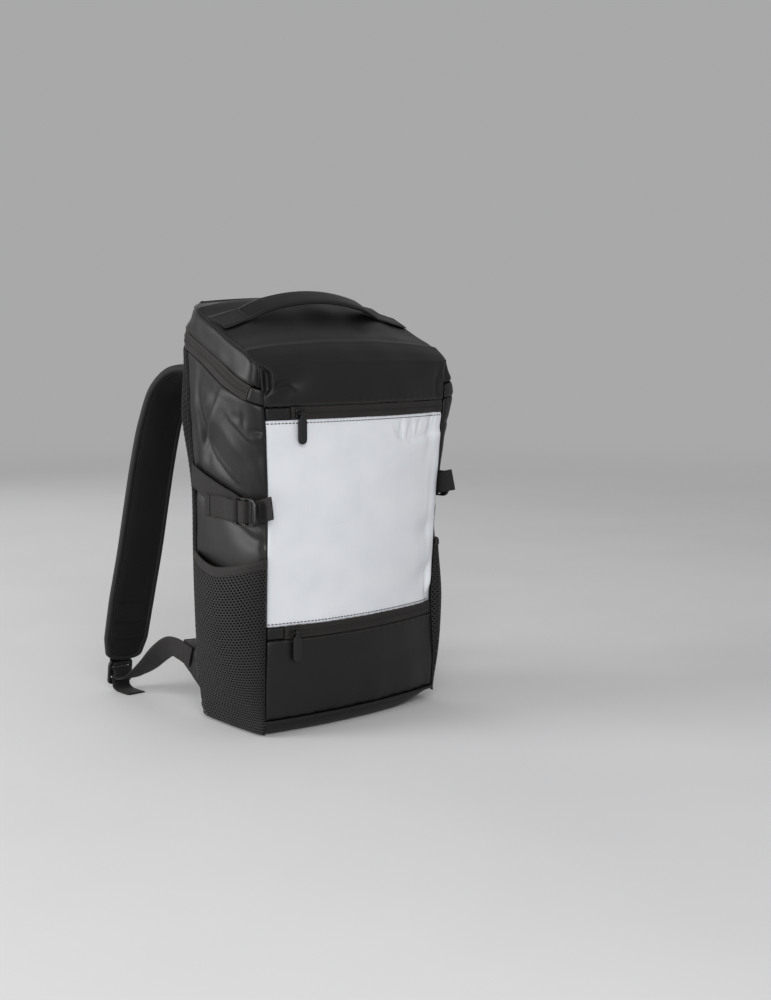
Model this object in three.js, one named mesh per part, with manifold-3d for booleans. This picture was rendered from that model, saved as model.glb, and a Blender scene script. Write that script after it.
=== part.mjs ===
import * as THREE from "three";
import { mergeVertices } from "three/addons/utils/BufferGeometryUtils.js";
import Module from "manifold-3d";

// Laptop backpack standing on its base. Millimetres, +Z up, front towards -Y, origin under the base.

// Thicknesses and clearances
const CLOTH = 2;
const POCKET_CLOTH = 1.4;
const BINDING_CLOTH = 2.6;
const BACK_PAD = 9;
const GAP = 0.5;
const TAPE_RECESS = 0.6;

// Heights of the seams on the front
const BASE_SEAM = 17;
const LOWER_ZIP = { bottom: 109, top: 122.5 };
const UPPER_ZIP = { bottom: 352, top: 365 };

// Sloping lines of the lid: height at mid depth and rise per millimetre towards the back
const ZIP_LOWER_EDGE = { middle: 399, rise: 0.42 };
const ZIP_UPPER_EDGE = { middle: 416.5, rise: 0.43 };
const ZIP_START = 0.16;
const REAR_DOME = 12;

// Shares of the half outline, counted from the front seam to the middle of the back
const SEAM_START = 0.004;
const SIDE_END = 0.6;
const CORNER_END = 0.72;
const REAR_RADIUS = 18;

// Body sections. half, front: the front seam; bulge: rise of the front's middle; puff: rise of the side;
// rearHalf, back: the rear corner.
const BODY = [
  { z: 17, half: 129, front: -61, bulge: 13, puff: 6, rearHalf: 126, back: 75 },
  { z: 60, half: 129.5, front: -62, bulge: 18, puff: 10, rearHalf: 128, back: 79 },
  { z: 124, half: 126.5, front: -61.5, bulge: 20, puff: 13, rearHalf: 130, back: 81 },
  { z: 200, half: 128, front: -66, bulge: 20, puff: 12, rearHalf: 132, back: 79 },
  { z: 255, half: 129, front: -69, bulge: 19, puff: 9, rearHalf: 132, back: 78 },
  { z: 300, half: 131.5, front: -71.5, bulge: 17, puff: 16, rearHalf: 133, back: 81 },
  { z: 352, half: 134.5, front: -73, bulge: 15, puff: 23, rearHalf: 135, back: 83 },
  { z: 384, half: 137.5, front: -73.5, bulge: 13.5, puff: 23, rearHalf: 136, back: 83 },
  { z: 411, half: 140, front: -74, bulge: 12, puff: 11, rearHalf: 137, back: 83 },
  { z: 430, half: 140.5, front: -74, bulge: 12, puff: 6, rearHalf: 138, back: 83 },
  { z: 455, half: 140.5, front: -74, bulge: 12, puff: 4, rearHalf: 137.5, back: 78 },
  { z: 487, half: 140, front: -74, bulge: 12, puff: 3, rearHalf: 131, back: 62 },
];

// Turned-up edge of the base, from the bottom seam in to the flat
const BASE_RINGS = [
  { inset: 0, z: 16.5 },
  { inset: 3, z: 7 },
  { inset: 8.5, z: 1.8 },
  { inset: 15, z: 0 },
];
const PIPING = { radius: 1.8, drop: 0.2 };

// Height of the top seam over the depth of the bag
const RIM = [
  { y: -74, z: 410.5 },
  { y: -66, z: 417.5 },
  { y: -52, z: 427 },
  { y: -20, z: 440.5 },
  { y: 8, z: 453.5 },
  { y: 30, z: 461.5 },
  { y: 45, z: 467 },
  { y: 62, z: 474 },
];

// How far the middle of the top panel stands forward of and above its edges: first on the upright
// front, then along the sloping top
const FRONT_CROWN = [
  { z: 365, forward: 14.4, up: 0 },
  { z: 380, forward: 14, up: 0.5 },
  { z: 395, forward: 11, up: 3 },
  { z: 411, forward: 4, up: 4 },
];
const TOP_CROWN = [
  { y: -74, forward: 4, up: 4 },
  { y: -66, forward: 2, up: 9 },
  { y: -52, forward: 3, up: 9.5 },
  { y: 0, forward: 0, up: 13.5 },
  { y: 28, forward: 0, up: 16.5 },
  { y: 42, forward: 0, up: 15.5 },
  { y: 62, forward: 0, up: 5.9 },
];

// Soft folds: centre, half length and half width, lean of the length from the horizontal, height
const SIDE_FOLDS = [
  { u: -28, z: 332, long: 58, wide: 17, lean: 43, height: 5 },
  { u: 2, z: 318, long: 46, wide: 12, lean: 43, height: -4 },
  { u: 38, z: 352, long: 42, wide: 7, lean: 84, height: 3 },
  { u: 25, z: 350, long: 42, wide: 7, lean: 84, height: -3 },
  { u: -52, z: 222, long: 26, wide: 10, lean: 12, height: -4 },
  { u: 5, z: 258, long: 70, wide: 15, lean: 10, height: -3 },
];
// The right side stands out further near the front
const RIGHT_FOLDS = [
  ...SIDE_FOLDS,
  { u: -56, z: 376, long: 20, wide: 45, lean: 90, height: 8 },
  { u: -56, z: 350, long: 34, wide: 45, lean: 90, height: 6 },
];
const FRONT_FOLDS = [
  { u: -104, z: 388, long: 18, wide: 9, lean: 20, height: -4 },
  { u: 112, z: 334, long: 26, wide: 8, lean: 75, height: -3 },
  { u: 114, z: 214, long: 22, wide: 12, lean: 15, height: -4 },
  { u: 112, z: 160, long: 22, wide: 12, lean: 20, height: -3 },
  { u: 20, z: 62, long: 90, wide: 16, lean: 4, height: -2.5 },
];

// Mesh pocket: height of its rim over the depth, depth of its rim band and how far it stands off
const POCKET_RIM = [
  { y: -74, z: 201 },
  { y: -40, z: 192 },
  { y: 0, z: 188 },
  { y: 62, z: 198 },
];
const POCKET = { bottom: 19, band: 11, clearance: 1.2, swell: 15, rightSwell: 6, start: 0.012 };

// Webbing and the compression strap set on each side
const WEBBING = { width: 25, thick: 1.5 };
const BUCKLE = { rear: 24, front: 70, middle: 252, height: 31, thick: 4, standOff: 9, corner: 9 };
const BUCKLE_SLOTS = [
  { from: 35.4, to: 43, margin: 1.6 },
  { from: 51, to: 57.5, margin: 1.2 },
];
// The right set sits a little higher than the left one
const RIGHT_LIFT = 12;
// Courses of the two webbings: ahead is the distance towards the front, out from the bag's side
const REAR_COURSE = [
  { ahead: -57, out: 2.4, z: 280.5 },
  { ahead: -25, out: 2.2, z: 271.5 },
  { ahead: 0, out: 2.4, z: 265 },
  { ahead: 18, out: 3.4, z: 259.5 },
  { ahead: 29, out: 5, z: 255.5 },
  { ahead: 36, out: 5.9, z: 253.4 },
  { ahead: 37.8, out: 9, z: 252.6 },
  { ahead: 36, out: 13, z: 252.3 },
  { ahead: 29, out: 13.4, z: 252.4 },
  { ahead: 21.4, out: 12, z: 252.8 },
  { ahead: 14, out: 9.6, z: 253.2 },
  { ahead: 3, out: 8.7, z: 253.4 },
  { ahead: -14, out: 8.3, z: 253.6 },
  { ahead: -32, out: 8.2, z: 253.6 },
];
const FRONT_COURSE = [
  { ahead: 65, out: 2.4, z: 252 },
  { ahead: 56, out: 2.6, z: 252 },
  { ahead: 46, out: 4.4, z: 252 },
  { ahead: 42.2, out: 6, z: 252 },
  { ahead: 41.2, out: 9, z: 252 },
  { ahead: 42, out: 12.6, z: 252 },
  { ahead: 46.6, out: 13, z: 252 },
  { ahead: 51.8, out: 12.4, z: 252 },
  { ahead: 53.6, out: 9, z: 252 },
  { ahead: 56, out: 5.9, z: 252.4 },
  { ahead: 64, out: 5.2, z: 253.5 },
  { ahead: 74, out: 5.6, z: 256 },
  { ahead: 87, out: 8, z: 259 },
];

// Grab handle on the top panel
const HANDLE = { half: 135, end: 38, y: 12, width: 28, thick: 5.5, rise: 12.5 };

// Shoulder strap: middle of the pad from the back panel down to its lower end
const STRAP = [
  { x: -73, y: 84.4, z: 399, width: 52, thick: 8, turn: 0 },
  { x: -73, y: 95, z: 400, width: 52, thick: 9, turn: 0 },
  { x: -75, y: 117, z: 404, width: 53, thick: 10, turn: 0 },
  { x: -80, y: 147, z: 399, width: 53, thick: 11, turn: 0 },
  { x: -85, y: 172, z: 378, width: 53, thick: 11, turn: 0 },
  { x: -91, y: 187, z: 338, width: 53, thick: 11, turn: 0 },
  { x: -99, y: 193, z: 290, width: 53, thick: 11, turn: 1 },
  { x: -106, y: 198, z: 238, width: 53, thick: 11, turn: 2 },
  { x: -112, y: 206, z: 178, width: 53, thick: 11, turn: 3 },
  { x: -117, y: 218, z: 118, width: 53, thick: 10, turn: 4 },
  { x: -120, y: 228, z: 68, width: 51, thick: 9, turn: 4 },
  { x: -121, y: 232, z: 50, width: 42, thick: 7, turn: 4 },
];
const STRAP_STEPS = 22;
const STRAP_EDGE = { radius: 3, gap: 0.9, from: 0.04, to: 0.985 };

// Adjuster below the strap: its top edge, downward lean, and its bars measured down the plate
const ADJUSTER = { x: -121, y: 240, z: 38, lean: 8, length: 30, width: 34, thick: 4.4, corner: 5 };
const ADJUSTER_SLOTS = [
  { from: 5.5, to: 11.4, margin: 0.6 },
  { from: 16.2, to: 22, margin: 0.9 },
];
// Courses past the adjuster: down along the plate, back from its middle plane
const KEEPER_COURSE = [
  { down: -50, back: 2.4 },
  { down: -28, back: 4.4 },
  { down: -10, back: 5.2 },
  { down: 0, back: 4.8 },
  { down: 5.6, back: 3.8 },
  { down: 7.2, back: 0 },
  { down: 5.2, back: -3.7 },
  { down: 1.6, back: -3.9 },
];
const ADJUSTER_COURSE = [
  { down: 20, back: -7.4 },
  { down: 14, back: -5.4 },
  { down: 10.8, back: -3.6 },
  { down: 9.8, back: 0 },
  { down: 10.4, back: 3.8 },
  { down: 13.6, back: 4.2 },
  { down: 17.4, back: 3.7 },
  { down: 18.8, back: 0 },
  { down: 20.8, back: -3.1 },
  { down: 27, back: -3.6 },
];
// Lower webbing from the wing tab to the adjuster, and its tail to the floor; turn 0 stands upright
const LOWER_COURSE = [
  { x: -122.2, y: 88, z: 65, turn: 0 },
  { x: -122.2, y: 101, z: 69, turn: 0 },
  { x: -122.2, y: 114, z: 72, turn: 0 },
  { x: -122, y: 131, z: 72, turn: -12 },
  { x: -121.6, y: 152, z: 61, turn: -32 },
  { x: -121, y: 178, z: 42, turn: -60 },
  { x: -121, y: 206, z: 25, turn: -84 },
  { x: -121, y: 223, z: 17.5, turn: -90 },
];
const TAIL_COURSE = [
  { x: -121, y: 239, z: 5.2, turn: -90 },
  { x: -121, y: 232, z: 2, turn: -90 },
  { x: -121, y: 220, z: 1.1, turn: -90 },
  { x: -121, y: 206, z: 1.1, turn: -90 },
];
const WING = { x: -119.4, bottom: 30, top: 90, tipBottom: 55, tipTop: 84, tip: 106, thick: 2.4 };

// Zip sliders and pulls
const SLIDER = {
  width: 12, height: 11, plate: 2.2, lift: 0.3, post: 1.7, postHeight: 3.2, bar: 1.05, reach: 5.6, cap: 1.4,
};
const PULL = {
  width: 11, length: 29.5, thick: 2.4, eye: 2.4, hole: 1.4, eyeWidth: 5.4, corner: 4.5, neck: 4,
};
const MAIN_SLIDER = 0.2;
const MAIN_SLIDER_CLEAR = 2.8;
const UPPER_SLIDER_X = -93;
const LOWER_SLIDER_X = -93;
const UPPER_TAB_END = -104;
const LOWER_TAB_END = -106;

const V = (x, y, z) => new THREE.Vector3(x, y, z);
const { lerp, clamp, smoothstep, degToRad } = THREE.MathUtils;
const stops = (from, to, count) => Array.from({ length: count + 1 }, (_, i) => lerp(from, to, i / count));

// Smooth value of one column of a table
function sample(table, key, column, at) {
  const last = table.length - 1;
  let i = 0;
  while (i < last - 1 && at > table[i + 1][key]) i += 1;
  const a = table[i];
  const b = table[i + 1];
  const before = table[Math.max(i - 1, 0)];
  const after = table[Math.min(i + 2, last)];
  const span = b[key] - a[key];
  const t = clamp((at - a[key]) / span, 0, 1);
  const leave = ((b[column] - before[column]) / (b[key] - before[key])) * span;
  const arrive = ((after[column] - a[column]) / (after[key] - a[key])) * span;
  const ease = t * t * (3 - 2 * t);
  return lerp(a[column], b[column], ease) + t * (1 - t) * ((1 - t) * leave - t * arrive);
}

function bodySection(z, inset) {
  const at = (column) => sample(BODY, "z", column, z);
  return {
    half: at("half") - inset,
    front: at("front") + inset,
    bulge: at("bulge"),
    puff: at("puff"),
    rearHalf: at("rearHalf") - inset,
    back: at("back") - inset,
    radius: Math.max(REAR_RADIUS - inset, 2),
  };
}

// Height of the folds at one place of a wall
function foldHeight(folds, u, z) {
  let height = 0;
  for (const fold of folds) {
    const lean = degToRad(fold.lean);
    const along = (u - fold.u) * Math.cos(lean) + (z - fold.z) * Math.sin(lean);
    const aside = (z - fold.z) * Math.cos(lean) - (u - fold.u) * Math.sin(lean);
    height += fold.height * Math.exp(-((along / fold.long) ** 2) - (aside / fold.wide) ** 2);
  }
  return height;
}

// Plan of the left half: along the side, round the rear corner, to the middle of the back
function planLeft(p, section) {
  const { half, front, puff, rearHalf, back, radius } = section;
  if (p <= SIDE_END) {
    const t = p / SIDE_END;
    const weights = [(1 - t) ** 3, 3 * t * (1 - t) ** 2, 3 * t * t * (1 - t), t ** 3];
    const xs = [half, half + 1.2 * puff, rearHalf + 0.9 * puff, rearHalf];
    const ys = [front, front + 4, back - radius - 48, back - radius];
    const mix = (values) => values.reduce((sum, value, i) => sum + value * weights[i], 0);
    return { x: -mix(xs), y: mix(ys) };
  }
  if (p <= CORNER_END) {
    const angle = (((p - SIDE_END) / (CORNER_END - SIDE_END)) * Math.PI) / 2;
    return {
      x: -(rearHalf - radius + radius * Math.cos(angle)),
      y: back - radius + radius * Math.sin(angle),
    };
  }
  return { x: -lerp(rearHalf - radius, 0, (p - CORNER_END) / (1 - CORNER_END)), y: back };
}

const NOMINAL = bodySection(430, 0);
const depthAt = (p) => planLeft(p, NOMINAL).y;

function zipHeight(edge, p) {
  return edge.middle + edge.rise * depthAt(p);
}

function rimHeight(p) {
  const share = clamp((p - SIDE_END) / (1 - SIDE_END), 0, 1);
  return sample(RIM, "y", "z", Math.min(depthAt(p), 62)) + REAR_DOME * (1 - (1 - share) ** 2);
}

// A point of the left side, the rear corner or the left half of the back
function wallLeft(p, z, inset, folds = SIDE_FOLDS) {
  const plan = planLeft(p, bodySection(z, inset));
  const fade = clamp(Math.min(p, SIDE_END - p) / 0.08, 0, 1);
  return V(plan.x - fade * foldHeight(folds, plan.y, z), plan.y, z);
}

// The whole round from the left front seam over the back to the right one; q runs from -1 to 1
function wallRound(q, z, inset) {
  const point = wallLeft(1 - Math.abs(q), z, inset, q > 0 ? RIGHT_FOLDS : SIDE_FOLDS);
  return V(q > 0 ? -point.x : point.x, point.y, z);
}

function frontPoint(s, z, inset) {
  const { half, front, bulge } = bodySection(z, inset);
  const fade = clamp((1 - Math.abs(s)) / 0.1, 0, 1);
  const fold = fade * foldHeight(FRONT_FOLDS, s * half, z);
  return V(s * half, front - bulge * (1 - s * s) - fold, z);
}

// Outward reach of the left side at a depth and height
function sideReach(y, z) {
  let low = 0;
  let high = SIDE_END;
  for (let i = 0; i < 30; i += 1) {
    const middle = (low + high) / 2;
    if (planLeft(middle, bodySection(z, 0)).y < y) low = middle;
    else high = middle;
  }
  return -wallLeft(low, z, 0).x;
}

// Points and triangles as a geometry that faces outwards
function closedGeometry(points, faces) {
  const volume = faces.reduce((sum, [a, b, c]) => sum + points[a].dot(points[b].clone().cross(points[c])), 0);
  const order = volume < 0 ? [0, 2, 1] : [0, 1, 2];
  const geometry = new THREE.BufferGeometry();
  const numbers = points.flatMap((point) => point.toArray());
  geometry.setAttribute("position", new THREE.Float32BufferAttribute(numbers, 3));
  geometry.setIndex(faces.flatMap((face) => order.map((k) => face[k])));
  geometry.computeVertexNormals();
  return geometry;
}

// A cloth wall: an outer and an inner skin over the same stops, joined round the rim
function panel(across, along, outer, inner) {
  const columns = across.length;
  const rows = along.length;
  const points = [outer, inner].flatMap((skin) => along.flatMap((t) => across.map((s) => skin(s, t))));
  const at = (skin, i, j) => skin * columns * rows + j * columns + i;
  const faces = [];
  const quad = (a, b, c, d) => faces.push([a, b, c], [a, c, d]);
  for (let j = 0; j < rows - 1; j += 1) {
    for (let i = 0; i < columns - 1; i += 1) {
      quad(at(0, i, j), at(0, i + 1, j), at(0, i + 1, j + 1), at(0, i, j + 1));
      quad(at(1, i, j), at(1, i, j + 1), at(1, i + 1, j + 1), at(1, i + 1, j));
    }
  }
  const right = columns - 1;
  const top = rows - 1;
  for (let i = 0; i < right; i += 1) {
    quad(at(0, i, 0), at(1, i, 0), at(1, i + 1, 0), at(0, i + 1, 0));
    quad(at(0, i, top), at(0, i + 1, top), at(1, i + 1, top), at(1, i, top));
  }
  for (let j = 0; j < top; j += 1) {
    quad(at(0, 0, j), at(0, 0, j + 1), at(1, 0, j + 1), at(1, 0, j));
    quad(at(0, right, j), at(1, right, j), at(1, right, j + 1), at(0, right, j + 1));
  }
  return closedGeometry(points, faces);
}

const FLAT_RING = [[-1, -1], [1, -1], [1, 1], [-1, 1]];
const PAD_RING = [[-1, -0.4], [-0.8, -1], [0.8, -1], [1, -0.4], [1, 0.4], [0.8, 1], [-0.8, 1], [-1, 0.4]];
const ROUND_RING = stops(0, 2 * Math.PI, 5).slice(0, 5).map((angle) => [Math.cos(angle), Math.sin(angle)]);

// Tangents of a course, each square to its across direction
function framed(stations) {
  return stations.map((station, i) => {
    const before = stations[Math.max(i - 1, 0)].at;
    const after = stations[Math.min(i + 1, stations.length - 1)].at;
    const tangent = after.clone().sub(before).normalize();
    const across = station.across.clone().addScaledVector(tangent, -station.across.dot(tangent)).normalize();
    return { ...station, tangent, across, out: tangent.clone().cross(across) };
  });
}

// A bar of the given ring carried along framed stations and closed at both ends
function sweep(stations, ring) {
  const place = ({ at, across, out, width, thick }) => ring.map(([a, b]) => at.clone()
    .addScaledVector(across, (a * width) / 2)
    .addScaledVector(out, (b * thick) / 2));
  const points = stations.flatMap(place);
  const sides = ring.length;
  const faces = [];
  for (let i = 0; i < stations.length - 1; i += 1) {
    for (let k = 0; k < sides; k += 1) {
      const a = i * sides + k;
      const b = i * sides + ((k + 1) % sides);
      faces.push([a, b, b + sides], [a, b + sides, a + sides]);
    }
  }
  const end = (stations.length - 1) * sides;
  for (let k = 1; k < sides - 1; k += 1) {
    faces.push([0, k + 1, k], [end, end + k, end + k + 1]);
  }
  return closedGeometry(points, faces);
}

// Evenly read stations of a smooth course through the given ones
function smoothed(stations, count) {
  const course = (pick) => new THREE.CatmullRomCurve3(stations.map(pick));
  const places = course((station) => station.at);
  const turns = course((station) => station.across);
  const sizes = course((station) => V(station.width, station.thick, 0));
  return framed(stops(0, 1, count).map((t) => {
    const size = sizes.getPoint(t);
    return { at: places.getPoint(t), across: turns.getPoint(t), width: size.x, thick: size.y };
  }));
}

function mirrored(geometry) {
  const copy = mergeVertices(geometry).scale(-1, 1, 1);
  const corners = copy.getIndex().array;
  const turned = [];
  for (let i = 0; i < corners.length; i += 3) turned.push(corners[i], corners[i + 2], corners[i + 1]);
  copy.setIndex(turned);
  copy.computeVertexNormals();
  return copy;
}

// Rounded rectangle as a shape, with slots cut through it
function plateShape(left, bottom, width, height, corner, slots) {
  const outline = (shape, x, y, w, h, r) => {
    shape.moveTo(x + r, y);
    shape.lineTo(x + w - r, y);
    shape.absarc(x + w - r, y + r, r, -Math.PI / 2, 0);
    shape.lineTo(x + w, y + h - r);
    shape.absarc(x + w - r, y + h - r, r, 0, Math.PI / 2);
    shape.lineTo(x + r, y + h);
    shape.absarc(x + r, y + h - r, r, Math.PI / 2, Math.PI);
    shape.lineTo(x, y + r);
    shape.absarc(x + r, y + r, r, Math.PI, 1.5 * Math.PI);
    return shape;
  };
  const shape = outline(new THREE.Shape(), left, bottom, width, height, corner);
  shape.holes = slots.map(({ x, y, w, h }) => new THREE.Path([
    new THREE.Vector2(x, y),
    new THREE.Vector2(x, y + h),
    new THREE.Vector2(x + w, y + h),
    new THREE.Vector2(x + w, y),
  ]));
  return shape;
}

// Overlapping geometries joined into one body
const wasm = await Module();
wasm.setup();

function solidOf(geometry) {
  const bare = geometry.clone();
  bare.deleteAttribute("normal");
  bare.deleteAttribute("uv");
  const merged = mergeVertices(bare);
  return new wasm.Manifold(new wasm.Mesh({
    numProp: 3,
    vertProperties: new Float32Array(merged.attributes.position.array),
    triVerts: new Uint32Array(merged.getIndex().array),
  }));
}

function joined(geometries) {
  const whole = geometries.map(solidOf).reduce((sum, piece) => sum.add(piece));
  const { vertProperties, triVerts } = whole.getMesh();
  const geometry = new THREE.BufferGeometry();
  geometry.setAttribute("position", new THREE.BufferAttribute(new Float32Array(vertProperties), 3));
  geometry.setIndex(Array.from(triVerts));
  geometry.computeVertexNormals();
  return geometry;
}

const finish = {
  coated: [0x232324, 0.62, 0],
  reflective: [0xdfe3e8, 0.45, 0],
  tape: [0x2a2624, 0.8, 0],
  mesh: [0x1b1b1c, 0.9, 0],
  webbing: [0x262322, 0.75, 0],
  padding: [0x202021, 0.85, 0],
  plastic: [0x141415, 0.4, 0],
  pull: [0x161617, 0.5, 0],
};
const group = new THREE.Group();

function add(name, geometry, [color, roughness, metalness]) {
  const mesh = new THREE.Mesh(geometry, new THREE.MeshStandardMaterial({ color, roughness, metalness }));
  mesh.name = name;
  group.add(mesh);
  return mesh;
}

function addPair(name, geometry, look) {
  add(`${name}_left`, geometry, look);
  add(`${name}_right`, mirrored(geometry), look);
}

// A pair whose right piece follows the fuller right side
function addSides(name, make, look) {
  add(`${name}_left`, make(SIDE_FOLDS, 0), look);
  add(`${name}_right`, mirrored(make(RIGHT_FOLDS, POCKET.rightSwell)), look);
}

// Panels of the front between two heights; left and right are shares of the half width
function frontPanel(bottom, top, rows, recess, left, right, columns) {
  const place = (inset) => (s, z) => frontPoint(s, z, inset);
  return panel(stops(left, right, columns), stops(bottom, top, rows), place(recess), place(recess + CLOTH));
}

const seamShare = GAP / 2 / bodySection(UPPER_ZIP.top, 0).half;
const tabShare = (x, z) => x / bodySection(z, 0).half;

add("front_lower_panel", frontPanel(BASE_SEAM + GAP, LOWER_ZIP.bottom - GAP, 4, 0,
  -1 + seamShare, 1 - seamShare, 12), finish.coated);
add("reflective_panel", frontPanel(LOWER_ZIP.top + GAP, UPPER_ZIP.bottom - GAP, 9, 0,
  -1 + seamShare, 1 - seamShare, 12), finish.reflective);

function frontZip(name, zip, tabEnd) {
  const end = tabShare(tabEnd, (zip.bottom + zip.top) / 2);
  add(`${name}_zip_tape`, frontPanel(zip.bottom, zip.top, 1, TAPE_RECESS,
    end + seamShare, 1 - seamShare, 12), finish.tape);
  add(`${name}_zip_end_tab`, frontPanel(zip.bottom, zip.top, 1, 0,
    -1 + seamShare, end - seamShare, 2), finish.coated);
}

frontZip("lower", LOWER_ZIP, LOWER_TAB_END);
frontZip("upper", UPPER_ZIP, UPPER_TAB_END);

// Top panel: rows up the front, then along the sloping rim and round the rear corners
function topRow(row) {
  if (row < 0) {
    const z = lerp(FRONT_CROWN[0].z + GAP, RIM[0].z, 1 + row);
    const { half, front } = bodySection(z, 0);
    return {
      half,
      y: front,
      z,
      forward: sample(FRONT_CROWN, "z", "forward", z),
      up: sample(FRONT_CROWN, "z", "up", z),
    };
  }
  const z = rimHeight(row);
  const plan = planLeft(row, bodySection(z, 0));
  return {
    half: -plan.x,
    y: plan.y,
    z,
    forward: sample(TOP_CROWN, "y", "forward", plan.y),
    up: sample(TOP_CROWN, "y", "up", plan.y),
  };
}

function topPoint(s, row, inset) {
  const edge = topRow(row);
  const ahead = topRow(Math.min(row + 0.02, CORNER_END));
  const behind = topRow(Math.max(row - 0.02, -1));
  const slope = Math.atan2(ahead.z - behind.z, ahead.y - behind.y);
  const crown = 1 - s * s;
  const x = s * (edge.half - GAP / 2 - inset);
  const y = edge.y - edge.forward * crown + inset * Math.sin(slope);
  const z = edge.z + edge.up * crown - inset * Math.cos(slope);
  const fade = clamp((1 - Math.abs(s)) / 0.1, 0, 1);
  return V(x, y - fade * foldHeight(FRONT_FOLDS, x, z) * Math.sin(slope), z);
}

// Height of the top panel at a place
function topHeight(x, y) {
  let low = 0;
  let high = CORNER_END;
  for (let i = 0; i < 30; i += 1) {
    const middle = (low + high) / 2;
    if (topPoint(x / topRow(middle).half, middle, 0).y < y) low = middle;
    else high = middle;
  }
  return topPoint(x / topRow(low).half, low, 0).z;
}

const topRows = [
  ...stops(-1, -0.15, 4),
  ...stops(0, SIDE_END, 8),
  ...stops(SIDE_END, CORNER_END, 3).slice(1),
];
add("top_panel", panel(stops(-1, 1, 12), topRows,
  (s, row) => topPoint(s, row, 0), (s, row) => topPoint(s, row, CLOTH)), finish.coated);

// Side, zip and gusset strips that run round from the left over the back to the right
function roundStops(start) {
  const left = [
    ...stops(start, SIDE_END, 7),
    ...stops(SIDE_END, CORNER_END, 3).slice(1),
    ...stops(CORNER_END, 1, 3).slice(1),
  ].map((p) => p - 1);
  return [...left, ...left.slice(0, -1).reverse().map((q) => -q)];
}

const zipEdge = (edge, q, shift) => zipHeight(edge, 1 - Math.abs(q)) + shift;

add("main_zip_tape", panel(roundStops(ZIP_START), [0, 1],
  (q, t) => wallRound(q, lerp(zipEdge(ZIP_LOWER_EDGE, q, 0), zipEdge(ZIP_UPPER_EDGE, q, 0), t), TAPE_RECESS),
  (q, t) => wallRound(q, lerp(zipEdge(ZIP_LOWER_EDGE, q, 0), zipEdge(ZIP_UPPER_EDGE, q, 0), t),
    TAPE_RECESS + CLOTH)), finish.tape);

const zipTabZ = (p, t) => lerp(zipHeight(ZIP_LOWER_EDGE, p), zipHeight(ZIP_UPPER_EDGE, p), t);
addSides("main_zip_end_tab", (folds) => panel(stops(SEAM_START, ZIP_START - SEAM_START, 4), [0, 1],
  (p, t) => wallLeft(p, zipTabZ(p, t), 0, folds), (p, t) => wallLeft(p, zipTabZ(p, t), CLOTH, folds)),
finish.coated);

function gussetPoint(q, t, inset) {
  const p = 1 - Math.abs(q);
  const tuck = 1.8 * clamp((p - SIDE_END) / 0.1, 0, 1);
  const top = rimHeight(p) - CLOTH - GAP - tuck - 0.5 * inset;
  return wallRound(q, lerp(zipEdge(ZIP_UPPER_EDGE, q, GAP), top, t), inset);
}

add("lid_gusset", panel(roundStops(SEAM_START), stops(0, 1, 2),
  (q, t) => gussetPoint(q, t, 0), (q, t) => gussetPoint(q, t, CLOTH)), finish.coated);

const sideZ = (p, t) => lerp(BASE_SEAM + GAP, zipHeight(ZIP_LOWER_EDGE, p) - GAP, t);
addSides("side_panel", (folds) => panel(stops(SEAM_START, SIDE_END - 0.006, 9), stops(0, 1, 10),
  (p, t) => wallLeft(p, sideZ(p, t), 0, folds), (p, t) => wallLeft(p, sideZ(p, t), CLOTH, folds)),
finish.coated);

// Padded back with rounded upright edges
function backPoint(q, t, inset) {
  return wallRound(q, lerp(BASE_SEAM + GAP, zipEdge(ZIP_LOWER_EDGE, q, -GAP), t), inset);
}

const backStops = roundStops(0).filter((q) => Math.abs(q) <= 1 - SIDE_END + 1e-9);
add("back_panel", panel(backStops, stops(0, 1, 10),
  (q, t) => backPoint(q, t, 0), (q, t) => backPoint(q, t, BACK_PAD)), finish.padding);

// Base: a shallow tray with a turned-up edge under the bottom seam
function outline(inset) {
  const section = bodySection(BASE_SEAM, inset);
  const front = stops(-1, 1, 10).map((s) => [s * section.half, section.front - section.bulge * (1 - s * s)]);
  const right = [
    ...stops(0, SIDE_END, 5).slice(1),
    ...stops(SIDE_END, CORNER_END, 3).slice(1),
    ...stops(CORNER_END, 1, 2).slice(1),
  ].map((p) => planLeft(p, section));
  const round = right.map(({ x, y }) => [-x, y]);
  const left = right.slice(0, -1).reverse().map(({ x, y }) => [x, y]);
  return [...front, ...round, ...left];
}

function basePanel() {
  const outer = BASE_RINGS.map(({ inset, z }) => outline(inset).map(([x, y]) => V(x, y, z)));
  const inner = BASE_RINGS.map(({ inset, z }, i) => {
    const lift = CLOTH * (i / (BASE_RINGS.length - 1));
    return outline(inset + CLOTH).map(([x, y]) => V(x, y, z + lift));
  });
  const rings = [...outer.reverse(), ...inner];
  const count = rings[0].length;
  const points = [...rings.flat(), V(0, 0, 0), V(0, 0, CLOTH)];
  const faces = [];
  for (let r = 0; r < rings.length - 1; r += 1) {
    for (let k = 0; k < count; k += 1) {
      const a = r * count + k;
      const b = r * count + ((k + 1) % count);
      faces.push([a, b, b + count], [a, b + count, a + count]);
    }
  }
  const lastRing = (rings.length - 1) * count;
  for (let k = 0; k < count; k += 1) {
    const next = (k + 1) % count;
    faces.push([rings.length * count, next, k]);
    faces.push([rings.length * count + 1, lastRing + k, lastRing + next]);
  }
  return closedGeometry(points, faces);
}

add("base_panel", basePanel(), finish.coated);

// Round piping laid in the bottom front seam
function piping() {
  const path = stops(-0.985, 0.985, 16).map((s) => {
    const point = frontPoint(s, BASE_SEAM, 0);
    return V(point.x, point.y - PIPING.radius - GAP, point.z - PIPING.drop);
  });
  const size = 2 * PIPING.radius;
  return sweep(framed(path.map((at) => ({ at, across: V(0, 0, 1), width: size, thick: size }))), ROUND_RING);
}

add("base_piping", piping(), finish.coated);

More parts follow.
